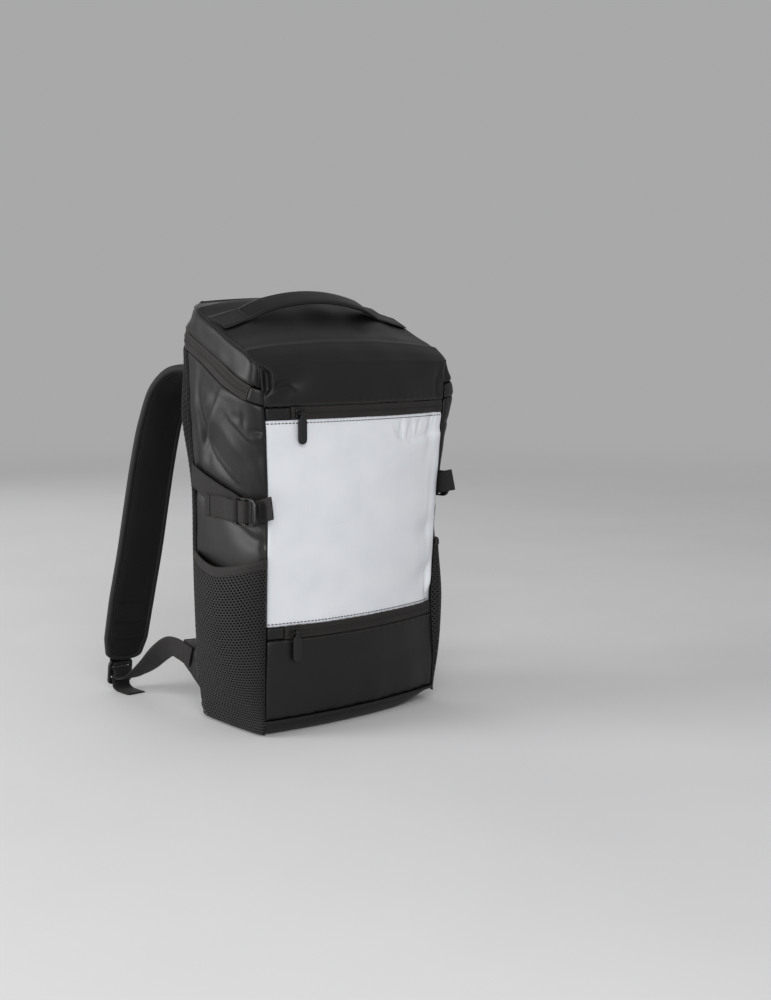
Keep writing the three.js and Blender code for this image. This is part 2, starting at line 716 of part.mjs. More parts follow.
// Mesh pockets standing off the side panels, with a bound rim
function pocketPoint(p, z, out, more) {
  const rim = sample(POCKET_RIM, "y", "z", depthAt(p));
  const share = clamp((z - POCKET.bottom) / (rim - POCKET.bottom), 0, 1);
  const across = Math.sin((Math.PI * (p - POCKET.start)) / (SIDE_END - POCKET.start)) ** 0.6;
  const swell = POCKET.swell * Math.sin(2.2 * share) + more * Math.sin(Math.PI * share);
  const off = POCKET.clearance + out + across * swell;
  const point = wallLeft(p, z, 0);
  const near = wallLeft(Math.min(p + 0.01, SIDE_END), z, 0);
  const far = wallLeft(Math.max(p - 0.01, 0), z, 0);
  const normal = V(-(near.y - far.y), near.x - far.x, 0).normalize();
  return point.addScaledVector(normal, off);
}

const pocketStops = stops(POCKET.start, SIDE_END - 0.004, 9);
const pocketRim = (p) => sample(POCKET_RIM, "y", "z", depthAt(p));
const pocketZ = (p, t) => lerp(POCKET.bottom, pocketRim(p) - POCKET.band - GAP, t);
const bandZ = (p, t) => lerp(pocketRim(p) - POCKET.band, pocketRim(p), t);
addSides("mesh_pocket", (folds, more) => panel(pocketStops, stops(0, 1, 6),
  (p, t) => pocketPoint(p, pocketZ(p, t), POCKET_CLOTH, more), (p, t) => pocketPoint(p, pocketZ(p, t), 0, more)),
finish.mesh);
addSides("pocket_binding", (folds, more) => panel(pocketStops, [0, 1],
  (p, t) => pocketPoint(p, bandZ(p, t), BINDING_CLOTH, more), (p, t) => pocketPoint(p, bandZ(p, t), 0, more)),
finish.webbing);

// Compression straps
function webbingReach(ahead, z) {
  const edges = [-0.5, 0, 0.5].map((share) => z + share * WEBBING.width);
  return Math.max(...edges.map((height) => sideReach(-ahead, height)));
}

const buckleReach = (lift) => webbingReach((BUCKLE.rear + BUCKLE.front) / 2, BUCKLE.middle + lift);

function sideCourse(course, lift) {
  return course.map(({ ahead, out, z }) => {
    const under = smoothstep(ahead, 14, BUCKLE.rear + 2) * (1 - smoothstep(ahead, 56, 65));
    const reach = lerp(webbingReach(Math.min(ahead, 58), z + lift), buckleReach(lift), under);
    return { at: V(-reach - out, -ahead, z + lift), across: V(0, 0, 1), ...WEBBING };
  });
}

const compressionStrap = (lift) => sweep(smoothed(sideCourse(REAR_COURSE, lift), 28), FLAT_RING);
const compressionTail = (lift) => sweep(smoothed(sideCourse(FRONT_COURSE, lift), 26), FLAT_RING);

function compressionBuckle(lift) {
  const { rear, front, middle, height, thick, standOff, corner } = BUCKLE;
  const slots = BUCKLE_SLOTS.map(({ from, to, margin }) => ({
    x: from,
    y: -WEBBING.width / 2 - margin,
    w: to - from,
    h: WEBBING.width + 2 * margin,
  }));
  const shape = plateShape(rear, -height / 2, front - rear, height, corner, slots);
  const geometry = new THREE.ExtrudeGeometry(shape, { depth: thick, bevelEnabled: false, curveSegments: 3 });
  geometry.translate(0, 0, -thick / 2);
  const place = new THREE.Matrix4().makeBasis(V(0, -1, 0), V(0, 0, 1), V(-1, 0, 0));
  return geometry.applyMatrix4(place.setPosition(-buckleReach(lift) - standOff, 0, middle + lift));
}

add("compression_strap_left", compressionStrap(0), finish.webbing);
add("compression_strap_right", mirrored(compressionStrap(RIGHT_LIFT)), finish.webbing);
add("compression_tail_left", compressionTail(0), finish.webbing);
add("compression_tail_right", mirrored(compressionTail(RIGHT_LIFT)), finish.webbing);
add("compression_buckle_left", compressionBuckle(0), finish.plastic);
add("compression_buckle_right", mirrored(compressionBuckle(RIGHT_LIFT)), finish.plastic);

// Grab handle: a padded band, sewn flat at both ends and arched between them
function grabHandle() {
  const { half, end, y, width, thick, rise } = HANDLE;
  const stations = stops(-1, 1, 18).map((s) => {
    const x = s * half;
    const tilt = (topHeight(x, y + width / 2) - topHeight(x, y - width / 2)) / width;
    const across = V(0, 1, tilt).normalize();
    const up = V(0, -across.z, across.y);
    const arch = clamp((half - end - Math.abs(x)) / (half - end), 0, 1);
    const lift = rise * Math.sin((Math.PI / 2) * arch) ** 0.8;
    const size = lerp(0.55, 1, Math.min(arch * 4, 1)) * thick;
    const at = V(x, y, topHeight(x, y)).addScaledVector(up, GAP + 0.6 + size / 2 + lift);
    return { at, across, width, thick: size };
  });
  return sweep(framed(stations), PAD_RING);
}

add("grab_handle", grabHandle(), finish.coated);

// Shoulder straps: a pad with bound edges
const strapStations = smoothed(STRAP.map(({ x, y, z, width, thick, turn }) => ({
  at: V(x, y, z),
  across: V(Math.cos(degToRad(turn)), -Math.sin(degToRad(turn)), 0),
  width,
  thick,
})), STRAP_STEPS);
addPair("shoulder_strap", sweep(strapStations, PAD_RING), finish.padding);

function strapEdge() {
  const { radius, gap, from, to } = STRAP_EDGE;
  const run = strapStations.filter((_, i) => i >= from * STRAP_STEPS && i <= to * STRAP_STEPS);
  const edge = (side) => run.map(({ at, across, width, out }) => ({
    at: at.clone().addScaledVector(across, side * (width / 2 + radius + gap)),
    across: out,
  }));
  const last = strapStations[strapStations.length - 1];
  const reach = last.width / 2 + radius + gap;
  const turnRound = stops(0, Math.PI, 6).map((angle) => ({
    at: last.at.clone()
      .addScaledVector(last.across, -reach * Math.cos(angle))
      .addScaledVector(last.tangent, (radius + gap) * 1.6 * Math.sin(angle)),
    across: last.out,
  }));
  const size = 2 * radius;
  const loop = [...edge(-1), ...turnRound, ...edge(1).reverse()];
  return sweep(framed(loop.map((station) => ({ ...station, width: size, thick: size }))), ROUND_RING);
}

addPair("strap_binding", strapEdge(), finish.webbing);

// Adjusters and the lower webbing
const plateDown = V(0, Math.sin(degToRad(ADJUSTER.lean)), -Math.cos(degToRad(ADJUSTER.lean)));
const plateBack = V(0, Math.cos(degToRad(ADJUSTER.lean)), Math.sin(degToRad(ADJUSTER.lean)));
const plateTop = V(ADJUSTER.x, ADJUSTER.y, ADJUSTER.z);

function adjuster() {
  const { length, width, thick, corner } = ADJUSTER;
  const slots = ADJUSTER_SLOTS.map(({ from, to, margin }) => ({
    x: -WEBBING.width / 2 - margin,
    y: from,
    w: WEBBING.width + 2 * margin,
    h: to - from,
  }));
  const shape = plateShape(-width / 2, 0, width, length, corner, slots);
  const geometry = new THREE.ExtrudeGeometry(shape, { depth: thick, bevelEnabled: false, curveSegments: 3 });
  geometry.translate(0, 0, -thick / 2);
  const place = new THREE.Matrix4().makeBasis(V(1, 0, 0), plateDown, plateBack);
  return geometry.applyMatrix4(place.setPosition(plateTop));
}

addPair("strap_adjuster", adjuster(), finish.plastic);

function plateCourse(course) {
  return course.map(({ down, back }) => ({
    at: plateTop.clone().addScaledVector(plateDown, down).addScaledVector(plateBack, back),
    across: V(-1, 0, 0),
    ...WEBBING,
  }));
}

function openCourse(course) {
  return course.map(({ x, y, z, turn }) => ({
    at: V(x, y, z),
    across: V(Math.sin(degToRad(turn)), 0, Math.cos(degToRad(turn))),
    ...WEBBING,
  }));
}

addPair("strap_keeper", sweep(smoothed(plateCourse(KEEPER_COURSE), 16), FLAT_RING), finish.webbing);
const lowerCourse = [
  ...openCourse(LOWER_COURSE),
  ...plateCourse(ADJUSTER_COURSE),
  ...openCourse(TAIL_COURSE),
];
addPair("strap_webbing", sweep(smoothed(lowerCourse, 50), FLAT_RING), finish.webbing);

function strapWing() {
  const { x, bottom, top, tipBottom, tipTop, tip, thick } = WING;
  const root = (z) => {
    const { rearHalf, back, radius } = bodySection(z, 0);
    const aside = clamp(-x - thick / 2 - (rearHalf - radius), 0, radius);
    return back - radius + Math.sqrt(radius * radius - aside * aside) + GAP + 0.6;
  };
  const place = (side) => (s, t) => {
    const z = lerp(lerp(bottom, top, t), lerp(tipBottom, tipTop, t), s);
    return V(x + side, lerp(root(lerp(bottom, top, t)), tip, s), z);
  };
  return panel(stops(0, 1, 2), stops(0, 1, 3), place(-thick / 2), place(thick / 2));
}

addPair("strap_wing", strapWing(), finish.coated);

// Zip sliders with a cross bar, and the pulls that hang from it; the zip's face is at y = 0
function box(width, depth, height, x, y, z) {
  return new THREE.BoxGeometry(width, depth, height).translate(x, y, z);
}

function rod(radius, length, y) {
  return new THREE.CylinderGeometry(radius, radius, length, 8).rotateZ(Math.PI / 2).translate(0, y, 0);
}

function sliderPlate() {
  const { width, height, plate, lift } = SLIDER;
  return box(width, plate, height, 0, -lift - plate / 2, 0);
}

function slider() {
  const { width, plate, post, postHeight, bar, reach, lift, cap } = SLIDER;
  const side = width / 2 - post / 2 - 0.8;
  const depth = reach + cap - lift - plate / 2;
  const middle = -(reach + cap) + depth / 2;
  const posts = [-side, side].map((x) => box(post, depth, postHeight, x, middle, 0));
  return joined([sliderPlate(), ...posts, rod(bar, 2 * side, -reach)]);
}

// The pull hangs from the origin, where the bar passes through its eye
function pull() {
  const { width, length, thick, eye, hole, eyeWidth, corner, neck } = PULL;
  const ring = new THREE.Shape().absarc(0, 0, eye, 0, 2 * Math.PI);
  ring.holes = [new THREE.Path().absarc(0, 0, hole, 0, 2 * Math.PI)];
  const eyelet = new THREE.ExtrudeGeometry(ring, { depth: eyeWidth, bevelEnabled: false, curveSegments: 8 })
    .translate(0, 0, -eyeWidth / 2)
    .rotateY(Math.PI / 2);
  const shape = plateShape(-width / 2, -neck - length, width, length, corner, []);
  const tab = new THREE.ExtrudeGeometry(shape, { depth: thick, bevelEnabled: false, curveSegments: 3 })
    .translate(0, 0, -thick / 2)
    .rotateX(Math.PI / 2);
  const stem = box(eyeWidth, thick, neck, 0, 0, -hole - 0.3 - neck / 2);
  return joined([eyelet, tab, stem]);
}

// Places a slider and its pull on the face of a front zip
function addSlider(name, zip, x) {
  const z = (zip.bottom + zip.top) / 2;
  const { half, bulge } = bodySection(z, TAPE_RECESS);
  const face = frontPoint(x / half, z, TAPE_RECESS);
  const turn = Math.atan2((2 * bulge * x) / half ** 2, 1);
  const out = V(Math.sin(turn), -Math.cos(turn), 0);
  const body = add(`${name}_zip_slider`, slider(), finish.plastic);
  body.position.copy(face);
  body.rotation.z = turn;
  const tab = add(`${name}_zip_pull`, pull(), finish.pull);
  tab.position.copy(face).addScaledVector(out, SLIDER.reach);
  tab.rotation.z = turn;
}

addSlider("upper", UPPER_ZIP, UPPER_SLIDER_X);
addSlider("lower", LOWER_ZIP, LOWER_SLIDER_X);

// Slider of the main zip with its pull, one plain piece at the right end of the zip
function mainSlider() {
  const { width, length, thick } = PULL;
  const slope = Math.atan(ZIP_LOWER_EDGE.rise);
  const tab = box(width, thick, length, 0, -SLIDER.lift - SLIDER.plate - thick / 2, -length / 2);
  return joined([sliderPlate().rotateY(-slope), tab.translate(0, 0.4, 0)]);
}

function addMainSlider() {
  const z = lerp(zipHeight(ZIP_LOWER_EDGE, MAIN_SLIDER), zipHeight(ZIP_UPPER_EDGE, MAIN_SLIDER), 0.5);
  const face = wallLeft(MAIN_SLIDER, z, TAPE_RECESS, RIGHT_FOLDS);
  const near = wallLeft(MAIN_SLIDER + 0.02, z, TAPE_RECESS, RIGHT_FOLDS);
  const far = wallLeft(MAIN_SLIDER - 0.02, z, TAPE_RECESS, RIGHT_FOLDS);
  const turn = Math.atan2(near.y - far.y, -(near.x - far.x));
  const body = add("main_zip_slider", mainSlider(), finish.plastic);
  body.position.set(MAIN_SLIDER_CLEAR - face.x, face.y, face.z);
  body.rotation.z = turn;
}

addMainSlider();

export default group;
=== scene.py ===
import math

import bmesh
import bpy
import numpy as np
from mathutils import Matrix, Vector


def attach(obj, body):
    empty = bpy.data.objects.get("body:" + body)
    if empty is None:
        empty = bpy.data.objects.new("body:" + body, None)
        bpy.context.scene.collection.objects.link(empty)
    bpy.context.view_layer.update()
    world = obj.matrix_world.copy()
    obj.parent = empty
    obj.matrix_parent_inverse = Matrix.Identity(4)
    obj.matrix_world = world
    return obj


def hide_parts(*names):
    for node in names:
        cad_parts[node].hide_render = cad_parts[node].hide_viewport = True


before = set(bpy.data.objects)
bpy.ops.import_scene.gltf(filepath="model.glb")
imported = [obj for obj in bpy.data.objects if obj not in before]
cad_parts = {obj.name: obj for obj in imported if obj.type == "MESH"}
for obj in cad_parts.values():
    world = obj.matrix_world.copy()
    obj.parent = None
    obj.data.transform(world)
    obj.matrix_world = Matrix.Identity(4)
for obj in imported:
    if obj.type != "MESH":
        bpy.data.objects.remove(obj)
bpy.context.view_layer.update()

# Lengths are millimetres in the frame's axes, and meshes are made in metres
MM = 0.001
# A place inside the bag, from which the faces of its panels look away
CORE = np.array((0.0, 5.0, 230.0))
# From a seam to the edge of the panel beside it
GAP = 0.5
# Pieces are shaped on the left, and the right ones are mirrored
SIDES = (("left", False), ("right", True))
FLIP = np.array((-1, 1, 1))


def columns(names, rows):
    return dict(zip(names.split(), np.array(rows, float).T))


# Body sections and lines of the bag, as in the frame
BODY = columns("z half front bulge puff rear_half back", [
    (17, 129, -61, 13, 6, 126, 75),
    (60, 129.5, -62, 18, 10, 128, 79),
    (124, 126.5, -61.5, 20, 13, 130, 81),
    (200, 128, -66, 20, 12, 132, 79),
    (255, 129, -69, 19, 9, 132, 78),
    (300, 131.5, -71.5, 17, 16, 133, 81),
    (352, 134.5, -73, 15, 23, 135, 83),
    (384, 137.5, -73.5, 13.5, 23, 136, 83),
    (411, 140, -74, 12, 11, 137, 83),
    (430, 140.5, -74, 12, 6, 138, 83),
    (455, 140.5, -74, 12, 4, 137.5, 78),
    (487, 140, -74, 12, 3, 131, 62),
])
RIM = columns("y z", [
    (-74, 410.5), (-66, 417.5), (-52, 427), (-20, 440.5), (8, 453.5), (30, 461.5), (45, 467), (62, 474),
])
FRONT_CROWN = columns("z forward up", [(365, 14.4, 0), (380, 14, 0.5), (395, 11, 3), (411, 4, 4)])
TOP_CROWN = columns("y forward up", [
    (-74, 4, 4), (-66, 2, 9), (-52, 3, 9.5), (0, 0, 13.5), (28, 0, 16.5), (42, 0, 15.5), (62, 0, 5.9),
])
POCKET_RIM = columns("y z", [(-74, 201), (-40, 192), (0, 188), (62, 198)])
BASE_SEAM = 17.0
LOWER_ZIP = (109.0, 122.5)
UPPER_ZIP = (352.0, 365.0)
ZIP_LOWER_EDGE = (399.0, 0.42)
ZIP_UPPER_EDGE = (416.5, 0.43)
ZIP_START = 0.16
REAR_DOME = 12.0
SEAM_START, SIDE_END, CORNER_END, REAR_RADIUS = 0.004, 0.6, 0.72, 18.0
POCKET_BOTTOM, POCKET_BAND, POCKET_CLEAR, POCKET_SWELL, POCKET_START = 19.0, 11.0, 1.2, 15.0, 0.012
RIGHT_SWELL = 6.0
RIGHT_LIFT = 12.0
# The right front corner of the base, which is rounded upward
BASE_CORNER, CORNER_SPREAD, CORNER_LIFT, CORNER_NET_LIFT = (129.0, -61.0), 32.0, 0.62, 10.0
# The level at which the plan gives the depth of a stop on the wall
DEPTH_LEVEL = np.float64(430)
# About half the width of the front, for counting steps
FRONT_HALF = 130
# Cloth thicknesses, and the share of a panel over which its folds fade out at its seams
PANEL_THICK, PATCH_THICK = 1.2, 1.0
SIDE_FADE, FRONT_FADE = 0.08, 0.1

# Folds: centre, half length, half width, lean of the length from the horizontal, height
SIDE_FOLDS = columns("u z long wide lean height", [
    (-28, 332, 58, 17, 43, 5),
    (2, 318, 46, 12, 43, -4),
    (38, 352, 42, 7, 84, 3),
    (25, 350, 42, 7, 84, -3),
    (-52, 222, 26, 10, 12, -4),
    (5, 258, 70, 15, 10, -3),
])
RIGHT_FOLDS = columns("u z long wide lean height", [(-56, 376, 20, 45, 90, 8), (-56, 350, 34, 45, 90, 6)])
FRONT_FOLDS = columns("u z long wide lean height", [
    (-104, 388, 18, 9, 20, -4),
    (112, 334, 26, 8, 75, -3),
    (114, 214, 22, 12, 15, -4),
    (112, 160, 22, 12, 20, -3),
    (20, 62, 90, 16, 4, -2.5),
])
SIDE_CREASES = columns("u z long wide lean height", [
    (-43, 355, 6, 4.5, 20, -0.9),
    (-53.6, 352, 8, 3.4, 90, -1.0),
    (-48, 360, 9, 4, 80, 0.6),
    (-68, 340, 6, 2.6, 12, -1.5),
    (-69, 333, 7, 4, 0, 1.5),
    (52, 325, 34, 11, 85, -2.4),
    (30, 300, 14, 7, 20, 1.4),
    (14, 392, 20, 6, 30, -1.4),
    (-46, 228, 20, 5, 26, 1.6),
    (-30, 232, 20, 5, 20, -1.6),
    (-62, 214, 10, 4, 70, -1.8),
    (-56, 236, 12, 4, 60, 1.3),
])
WHITE_CREASES = columns("u z long wide lean height", [
    (55.5, 335, 11, 3, 88, -2.2),
    (63, 334, 10, 4, 88, 1.2),
    (72.5, 331, 10, 4, 86, -2.4),
    (80, 334, 10, 4, 86, 1.0),
    (87.5, 337, 8, 2.6, 80, -1.9),
    (102, 336, 9, 5, 80, 1.0),
    (112, 345, 6, 2, 78, -1.6),
    (116.5, 346, 6, 1.8, 78, 1.6),
    (121.7, 344, 6, 1.8, 80, 1.4),
    (115, 149, 16, 4, 82, -3.2),
    (122, 150, 16, 4, 82, 1.4),
    (124, 128, 9, 12, 0, -4.5),
])

# Fold lines on a panel: points, then swell and its width on the line's left, and sink and its width on its right
SIDE_LINES = [
    ([(-29, 283), (-21, 289), (-11, 297), (-1, 305.5), (8, 316), (13, 324), (12, 333), (4, 345), (-5, 358),
      (-11, 370), (-16, 381)], 5.0, 14, 3.4, 10),
    ([(-70, 315), (-65, 325), (-54.6, 333), (-44, 343.5), (-35.5, 351), (-28, 360)], 1.3, 9, 1.9, 11),
    ([(27, 318), (20, 338), (13, 356), (10, 374)], 1.4, 4, 1.7, 4),
]
WHITE_LINES = [([(139, 331), (118, 325), (99, 322), (75, 321), (52, 324), (42, 336)], 1.6, 13, 3.0, 17)]
LID_LINES = [([(-99, 385), (-103, 388.5), (-109, 389.5), (-116, 388), (-127, 384.6), (-133, 381)], 2.8, 8, 2.8, 6)]
LINE_STOPS = 90


def sample(table, key, column, at):
    """Smooth value of one column of a table."""
    keys, values = table[key], table[column]
    at = np.asarray(at, float)
    i = np.clip(np.searchsorted(keys, at) - 1, 0, len(keys) - 2)
    before, after = np.maximum(i - 1, 0), np.minimum(i + 2, len(keys) - 1)
    span = keys[i + 1] - keys[i]
    t = np.clip((at - keys[i]) / span, 0, 1)
    leave = (values[i + 1] - values[before]) / (keys[i + 1] - keys[before]) * span
    arrive = (values[after] - values[i]) / (keys[after] - keys[i]) * span
    ease = t * t * (3 - 2 * t)
    rise = values[i] + (values[i + 1] - values[i]) * ease
    return rise + t * (1 - t) * ((1 - t) * leave - t * arrive)


def bell(x, centre, width):
    return np.exp(-(((x - centre) / width) ** 2))


def smoothstep(x, low, high):
    t = np.clip((x - low) / (high - low), 0, 1)
    return t * t * (3 - 2 * t)


def ripple(u, v, size, seed):
    """Soft random waves of about the given size, between about -1 and 1."""
    rng = np.random.default_rng(seed)
    total = 0.0
    for _ in range(10):
        angle, phase, rate = rng.uniform(0, np.pi), rng.uniform(0, 2 * np.pi), rng.uniform(0.6, 1.5)
        total = total + np.sin((u * np.cos(angle) + v * np.sin(angle)) * rate * 2 * np.pi / size + phase)
    return total / 4


def fold_height(folds, u, z):
    height = 0.0
    for fu, fz, long, wide, lean, rise in zip(*folds.values()):
        lean = np.radians(lean)
        along = (u - fu) * np.cos(lean) + (z - fz) * np.sin(lean)
        aside = (z - fz) * np.cos(lean) - (u - fu) * np.sin(lean)
        height = height + rise * np.exp(-((along / long) ** 2) - (aside / wide) ** 2)
    return height


def unit(vectors):
    return vectors / np.maximum(np.linalg.norm(vectors, axis=-1, keepdims=True), 1e-9)


def mix(low, high, share):
    return low + (high - low) * share


def run_along(points):
    """Distance of each point along a line of points."""
    return np.append(0, np.cumsum(np.linalg.norm(np.diff(points, axis=0), axis=1)))


def read_along(stops, table, at):
    """Columns of a table read at places between its stops."""
    return np.stack([np.interp(at, stops, column) for column in table.T], -1)


def line_height(lines, u, z):
    """Height of the folds that follow lines on a panel."""
    total = 0.0
    for points, rise, wide, drop, narrow in lines:
        points = np.array(points, float)
        run = run_along(points)
        table = {"run": run, "u": points[:, 0], "z": points[:, 1]}
        stops = np.linspace(0, run[-1], LINE_STOPS)
        dense = np.stack((sample(table, "run", "u", stops), sample(table, "run", "z", stops)), -1)
        ways = unit(np.gradient(dense, axis=0))
        gap = np.stack((u, z), -1)[..., None, :] - dense
        nearest = np.argmin(np.sum(gap ** 2, -1), -1)
        gap = np.take_along_axis(gap, nearest[..., None, None], -2)[..., 0, :]
        way = ways[nearest]
        aside = way[..., 0] * gap[..., 1] - way[..., 1] * gap[..., 0]
        past = np.sum(way * gap, -1)
        ends = np.sin(np.pi * np.clip(nearest / (LINE_STOPS - 1), 0.02, 0.98)) ** 0.5 * bell(past, 0, 6)
        turn = 0.5 + 0.5 * np.tanh(aside / 2.2)
        swell = rise * turn * bell(aside, 0, wide)
        total = total + ends * (swell - drop * (1 - turn) * bell(aside, 0, narrow))
    return total


def section(z, inset):
    get = {name: sample(BODY, "z", name, z) for name in BODY if name != "z"}
    return (get["half"] - inset, get["front"] + inset, get["bulge"], get["puff"],
            get["rear_half"] - inset, get["back"] - inset, np.maximum(REAR_RADIUS - inset, 2))


def plan_left(p, z, inset=0.0):
    """Plan of the left half: along the side, round the rear corner, to the middle of the back."""
    half, front, _, puff, rear_half, back, radius = section(z, inset)
    t = np.clip(p / SIDE_END, 0, 1)
    weights = ((1 - t) ** 3, 3 * t * (1 - t) ** 2, 3 * t * t * (1 - t), t ** 3)
    xs = (half, half + 1.2 * puff, rear_half + 0.9 * puff, rear_half)
    ys = (front, front + 4, back - radius - 48, back - radius)
    side_x = sum(w * x for w, x in zip(weights, xs))
    side_y = sum(w * y for w, y in zip(weights, ys))
    angle = np.clip((p - SIDE_END) / (CORNER_END - SIDE_END), 0, 1) * np.pi / 2
    rear = (rear_half - radius) * (1 - np.clip((p - CORNER_END) / (1 - CORNER_END), 0, 1))
    turned_x = rear_half - radius + radius * np.cos(angle)
    x = np.where(p <= SIDE_END, side_x, np.where(p <= CORNER_END, turned_x, rear))
    y = np.where(p <= SIDE_END, side_y, back - radius + radius * np.sin(angle))
    return -x, y


def depth_at(p):
    return plan_left(p, DEPTH_LEVEL)[1]


def zip_height(edge, p):
    return edge[0] + edge[1] * depth_at(p)


def rim_height(p):
    share = np.clip((p - SIDE_END) / (1 - SIDE_END), 0, 1)
    rim = sample(RIM, "y", "z", np.minimum(depth_at(p), RIM["y"][-1]))
    return rim + REAR_DOME * (1 - (1 - share) ** 2)


def wall_left(p, z, inset=0.0, right=False):
    """A point of the wall on the left; the right side is fuller at its front."""
    x, y = plan_left(p, z, inset)
    fade = np.clip(np.minimum(p, SIDE_END - p) / SIDE_FADE, 0, 1)
    x = x - fade * (fold_height(SIDE_FOLDS, y, z) + right * fold_height(RIGHT_FOLDS, y, z))
    return np.stack(np.broadcast_arrays(x, y, z), -1)


def wall_round(q, z, inset=0.0):
    """The round from the left front seam over the back to the right one; q runs from -1 to 1."""
    point = wall_left(1 - np.abs(q), z, inset, q > 0)
    point[..., 0] *= np.where(q > 0, -1, 1)
    return point


def front_point(s, z, inset=0.0):
    half, front, bulge = section(z, inset)[:3]
    fade = np.clip((1 - np.abs(s)) / FRONT_FADE, 0, 1)
    fold = fade * fold_height(FRONT_FOLDS, s * half, z)
    return np.stack(np.broadcast_arrays(s * half, front - bulge * (1 - s * s) - fold, z), -1)


def top_edge(row):
    """Half width, depth, height and crown of the top panel at a row; rows below 0 climb the front."""
    climb = mix(UPPER_ZIP[1] + GAP, RIM["z"][0], 1 + row)
    level = rim_height(np.maximum(row, 0))
    x, y = plan_left(np.maximum(row, 0), level)
    half, front = section(climb, 0.0)[:2]
    first = row < 0
    return (np.where(first, half, -x), np.where(first, front, y), np.where(first, climb, level),
            np.where(first, sample(FRONT_CROWN, "z", "forward", climb), sample(TOP_CROWN, "y", "forward", y)),
            np.where(first, sample(FRONT_CROWN, "z", "up", climb), sample(TOP_CROWN, "y", "up", y)))


def top_point(s, row):
    half, y, z, forward, up = top_edge(row)
    crown = 1 - s * s
    x = s * (half - GAP / 2)
    y, z = y - forward * crown, z + up * crown
    steep = smoothstep(-row, -0.05, 0.25)
    fade = np.clip((1 - np.abs(s)) / FRONT_FADE, 0, 1)
    return np.stack((x, y - steep * fade * fold_height(FRONT_FOLDS, x, z), z), -1)


def bisect(value, target, low, high):
    """Where a rising function meets each of the targets."""
    low, high = np.full_like(target, low), np.full_like(target, high)
    for _ in range(26):
        middle = (low + high) / 2
        under = value(middle) < target
        low, high = np.where(under, middle, low), np.where(under, high, middle)
    return low


def top_height(x, y):
    goal = np.broadcast_to(np.asarray(y, float), x.shape)
    row = bisect(lambda r: top_point(x / top_edge(r)[0], r)[..., 1], goal, 0, CORNER_END)
    return top_point(x / top_edge(row)[0], row)[..., 2]


def side_reach(y, z):
    p = bisect(lambda at: plan_left(at, z)[1], y, 0, SIDE_END)
    return -wall_left(p, z)[..., 0]


# Materials
class Look:
    """A node material under construction."""

    def __init__(self, name, rough, specular=0.5, sheen=0.0):
        self.material = bpy.data.materials.new(name)
        self.material.use_nodes = True
        self.tree = self.material.node_tree
        self.shader = self.tree.nodes["Principled BSDF"]
        self.shader.inputs["Roughness"].default_value = rough
        self.shader.inputs["Specular IOR Level"].default_value = specular
        self.shader.inputs["Sheen Weight"].default_value = sheen
        self.shader.inputs["Sheen Roughness"].default_value = 0.45
        self.places = self.node("ShaderNodeTexCoord").outputs

    def node(self, kind, inputs=None, **settings):
        made = self.tree.nodes.new(kind)
        for name, value in settings.items():
            setattr(made, name, value)
        for name, value in (inputs or {}).items():
            if isinstance(value, bpy.types.NodeSocket):
                self.tree.links.new(value, made.inputs[name])
            else:
                made.inputs[name].default_value = value
        return made

    def noise(self, scale, detail=2.0, place="Object"):
        inputs = {"Vector": self.places[place], "Scale": scale, "Detail": detail}
        return self.node("ShaderNodeTexNoise", inputs).outputs[0]

    def cells(self, scale):
        inputs = {"Vector": self.places["Object"], "Scale": scale}
        return self.node("ShaderNodeTexVoronoi", inputs).outputs["Distance"]

    def bands(self, pitch, axis, distortion=0.0):
        """Ribs of one pitch in metres across the cloth's own directions."""
        inputs = {"Vector": self.places["UV"], "Scale": math.pi / 10 / pitch, "Distortion": distortion}
        return self.node("ShaderNodeTexWave", inputs, bands_direction=axis).outputs["Fac"]

    def mark(self, name):
        return self.node("ShaderNodeAttribute", attribute_name=name).outputs["Fac"]

    def weighted(self, *pairs):
        total = 0.0
        for socket, weight in pairs:
            inputs = {0: socket, 1: weight, 2: total}
            total = self.node("ShaderNodeMath", inputs, operation="MULTIPLY_ADD").outputs[0]
        return total

    def times(self, a, b):
        return self.node("ShaderNodeMath", {0: a, 1: b}, operation="MULTIPLY").outputs[0]

    def color(self, factor, *stops):
        ramp = self.node("ShaderNodeValToRGB", {"Fac": factor})
        while len(ramp.color_ramp.elements) < len(stops):
            ramp.color_ramp.elements.new(0.5)
        for element, (position, rgb) in zip(ramp.color_ramp.elements, stops):
            element.position = position
            element.color = (*rgb, 1)
        self.tree.links.new(ramp.outputs[0], self.shader.inputs["Base Color"])

    def rough(self, factor, low, high):
        made = self.node("ShaderNodeMapRange", {"Value": factor, "To Min": low, "To Max": high})
        self.tree.links.new(made.outputs[0], self.shader.inputs["Roughness"])

    def bump(self, height, depth, strength=1.0):
        made = self.node("ShaderNodeBump", {"Height": height, "Distance": depth * MM, "Strength": strength})
        self.tree.links.new(made.outputs[0], self.shader.inputs["Normal"])


def coated_look():
    look = Look("coated_cloth", 0.5, 0.4)
    grain, pebble, cloud = look.noise(2400, 3), look.cells(1700), look.noise(18, 4)
    seam = look.mark("seam")
    shade = look.weighted((cloud, 0.5), (grain, 0.22), (seam, 0.3))
    look.color(shade, (0.2, (0.0022, 0.0022, 0.0023)), (0.75, (0.0048, 0.0047, 0.0047)),
               (1.0, (0.014, 0.0136, 0.0133)))
    look.rough(look.weighted((cloud, 0.6), (grain, 0.4)), 0.38, 0.54)
    look.bump(look.weighted((grain, 0.6), (pebble, 0.5)), 0.16, 0.6)
    return look.material


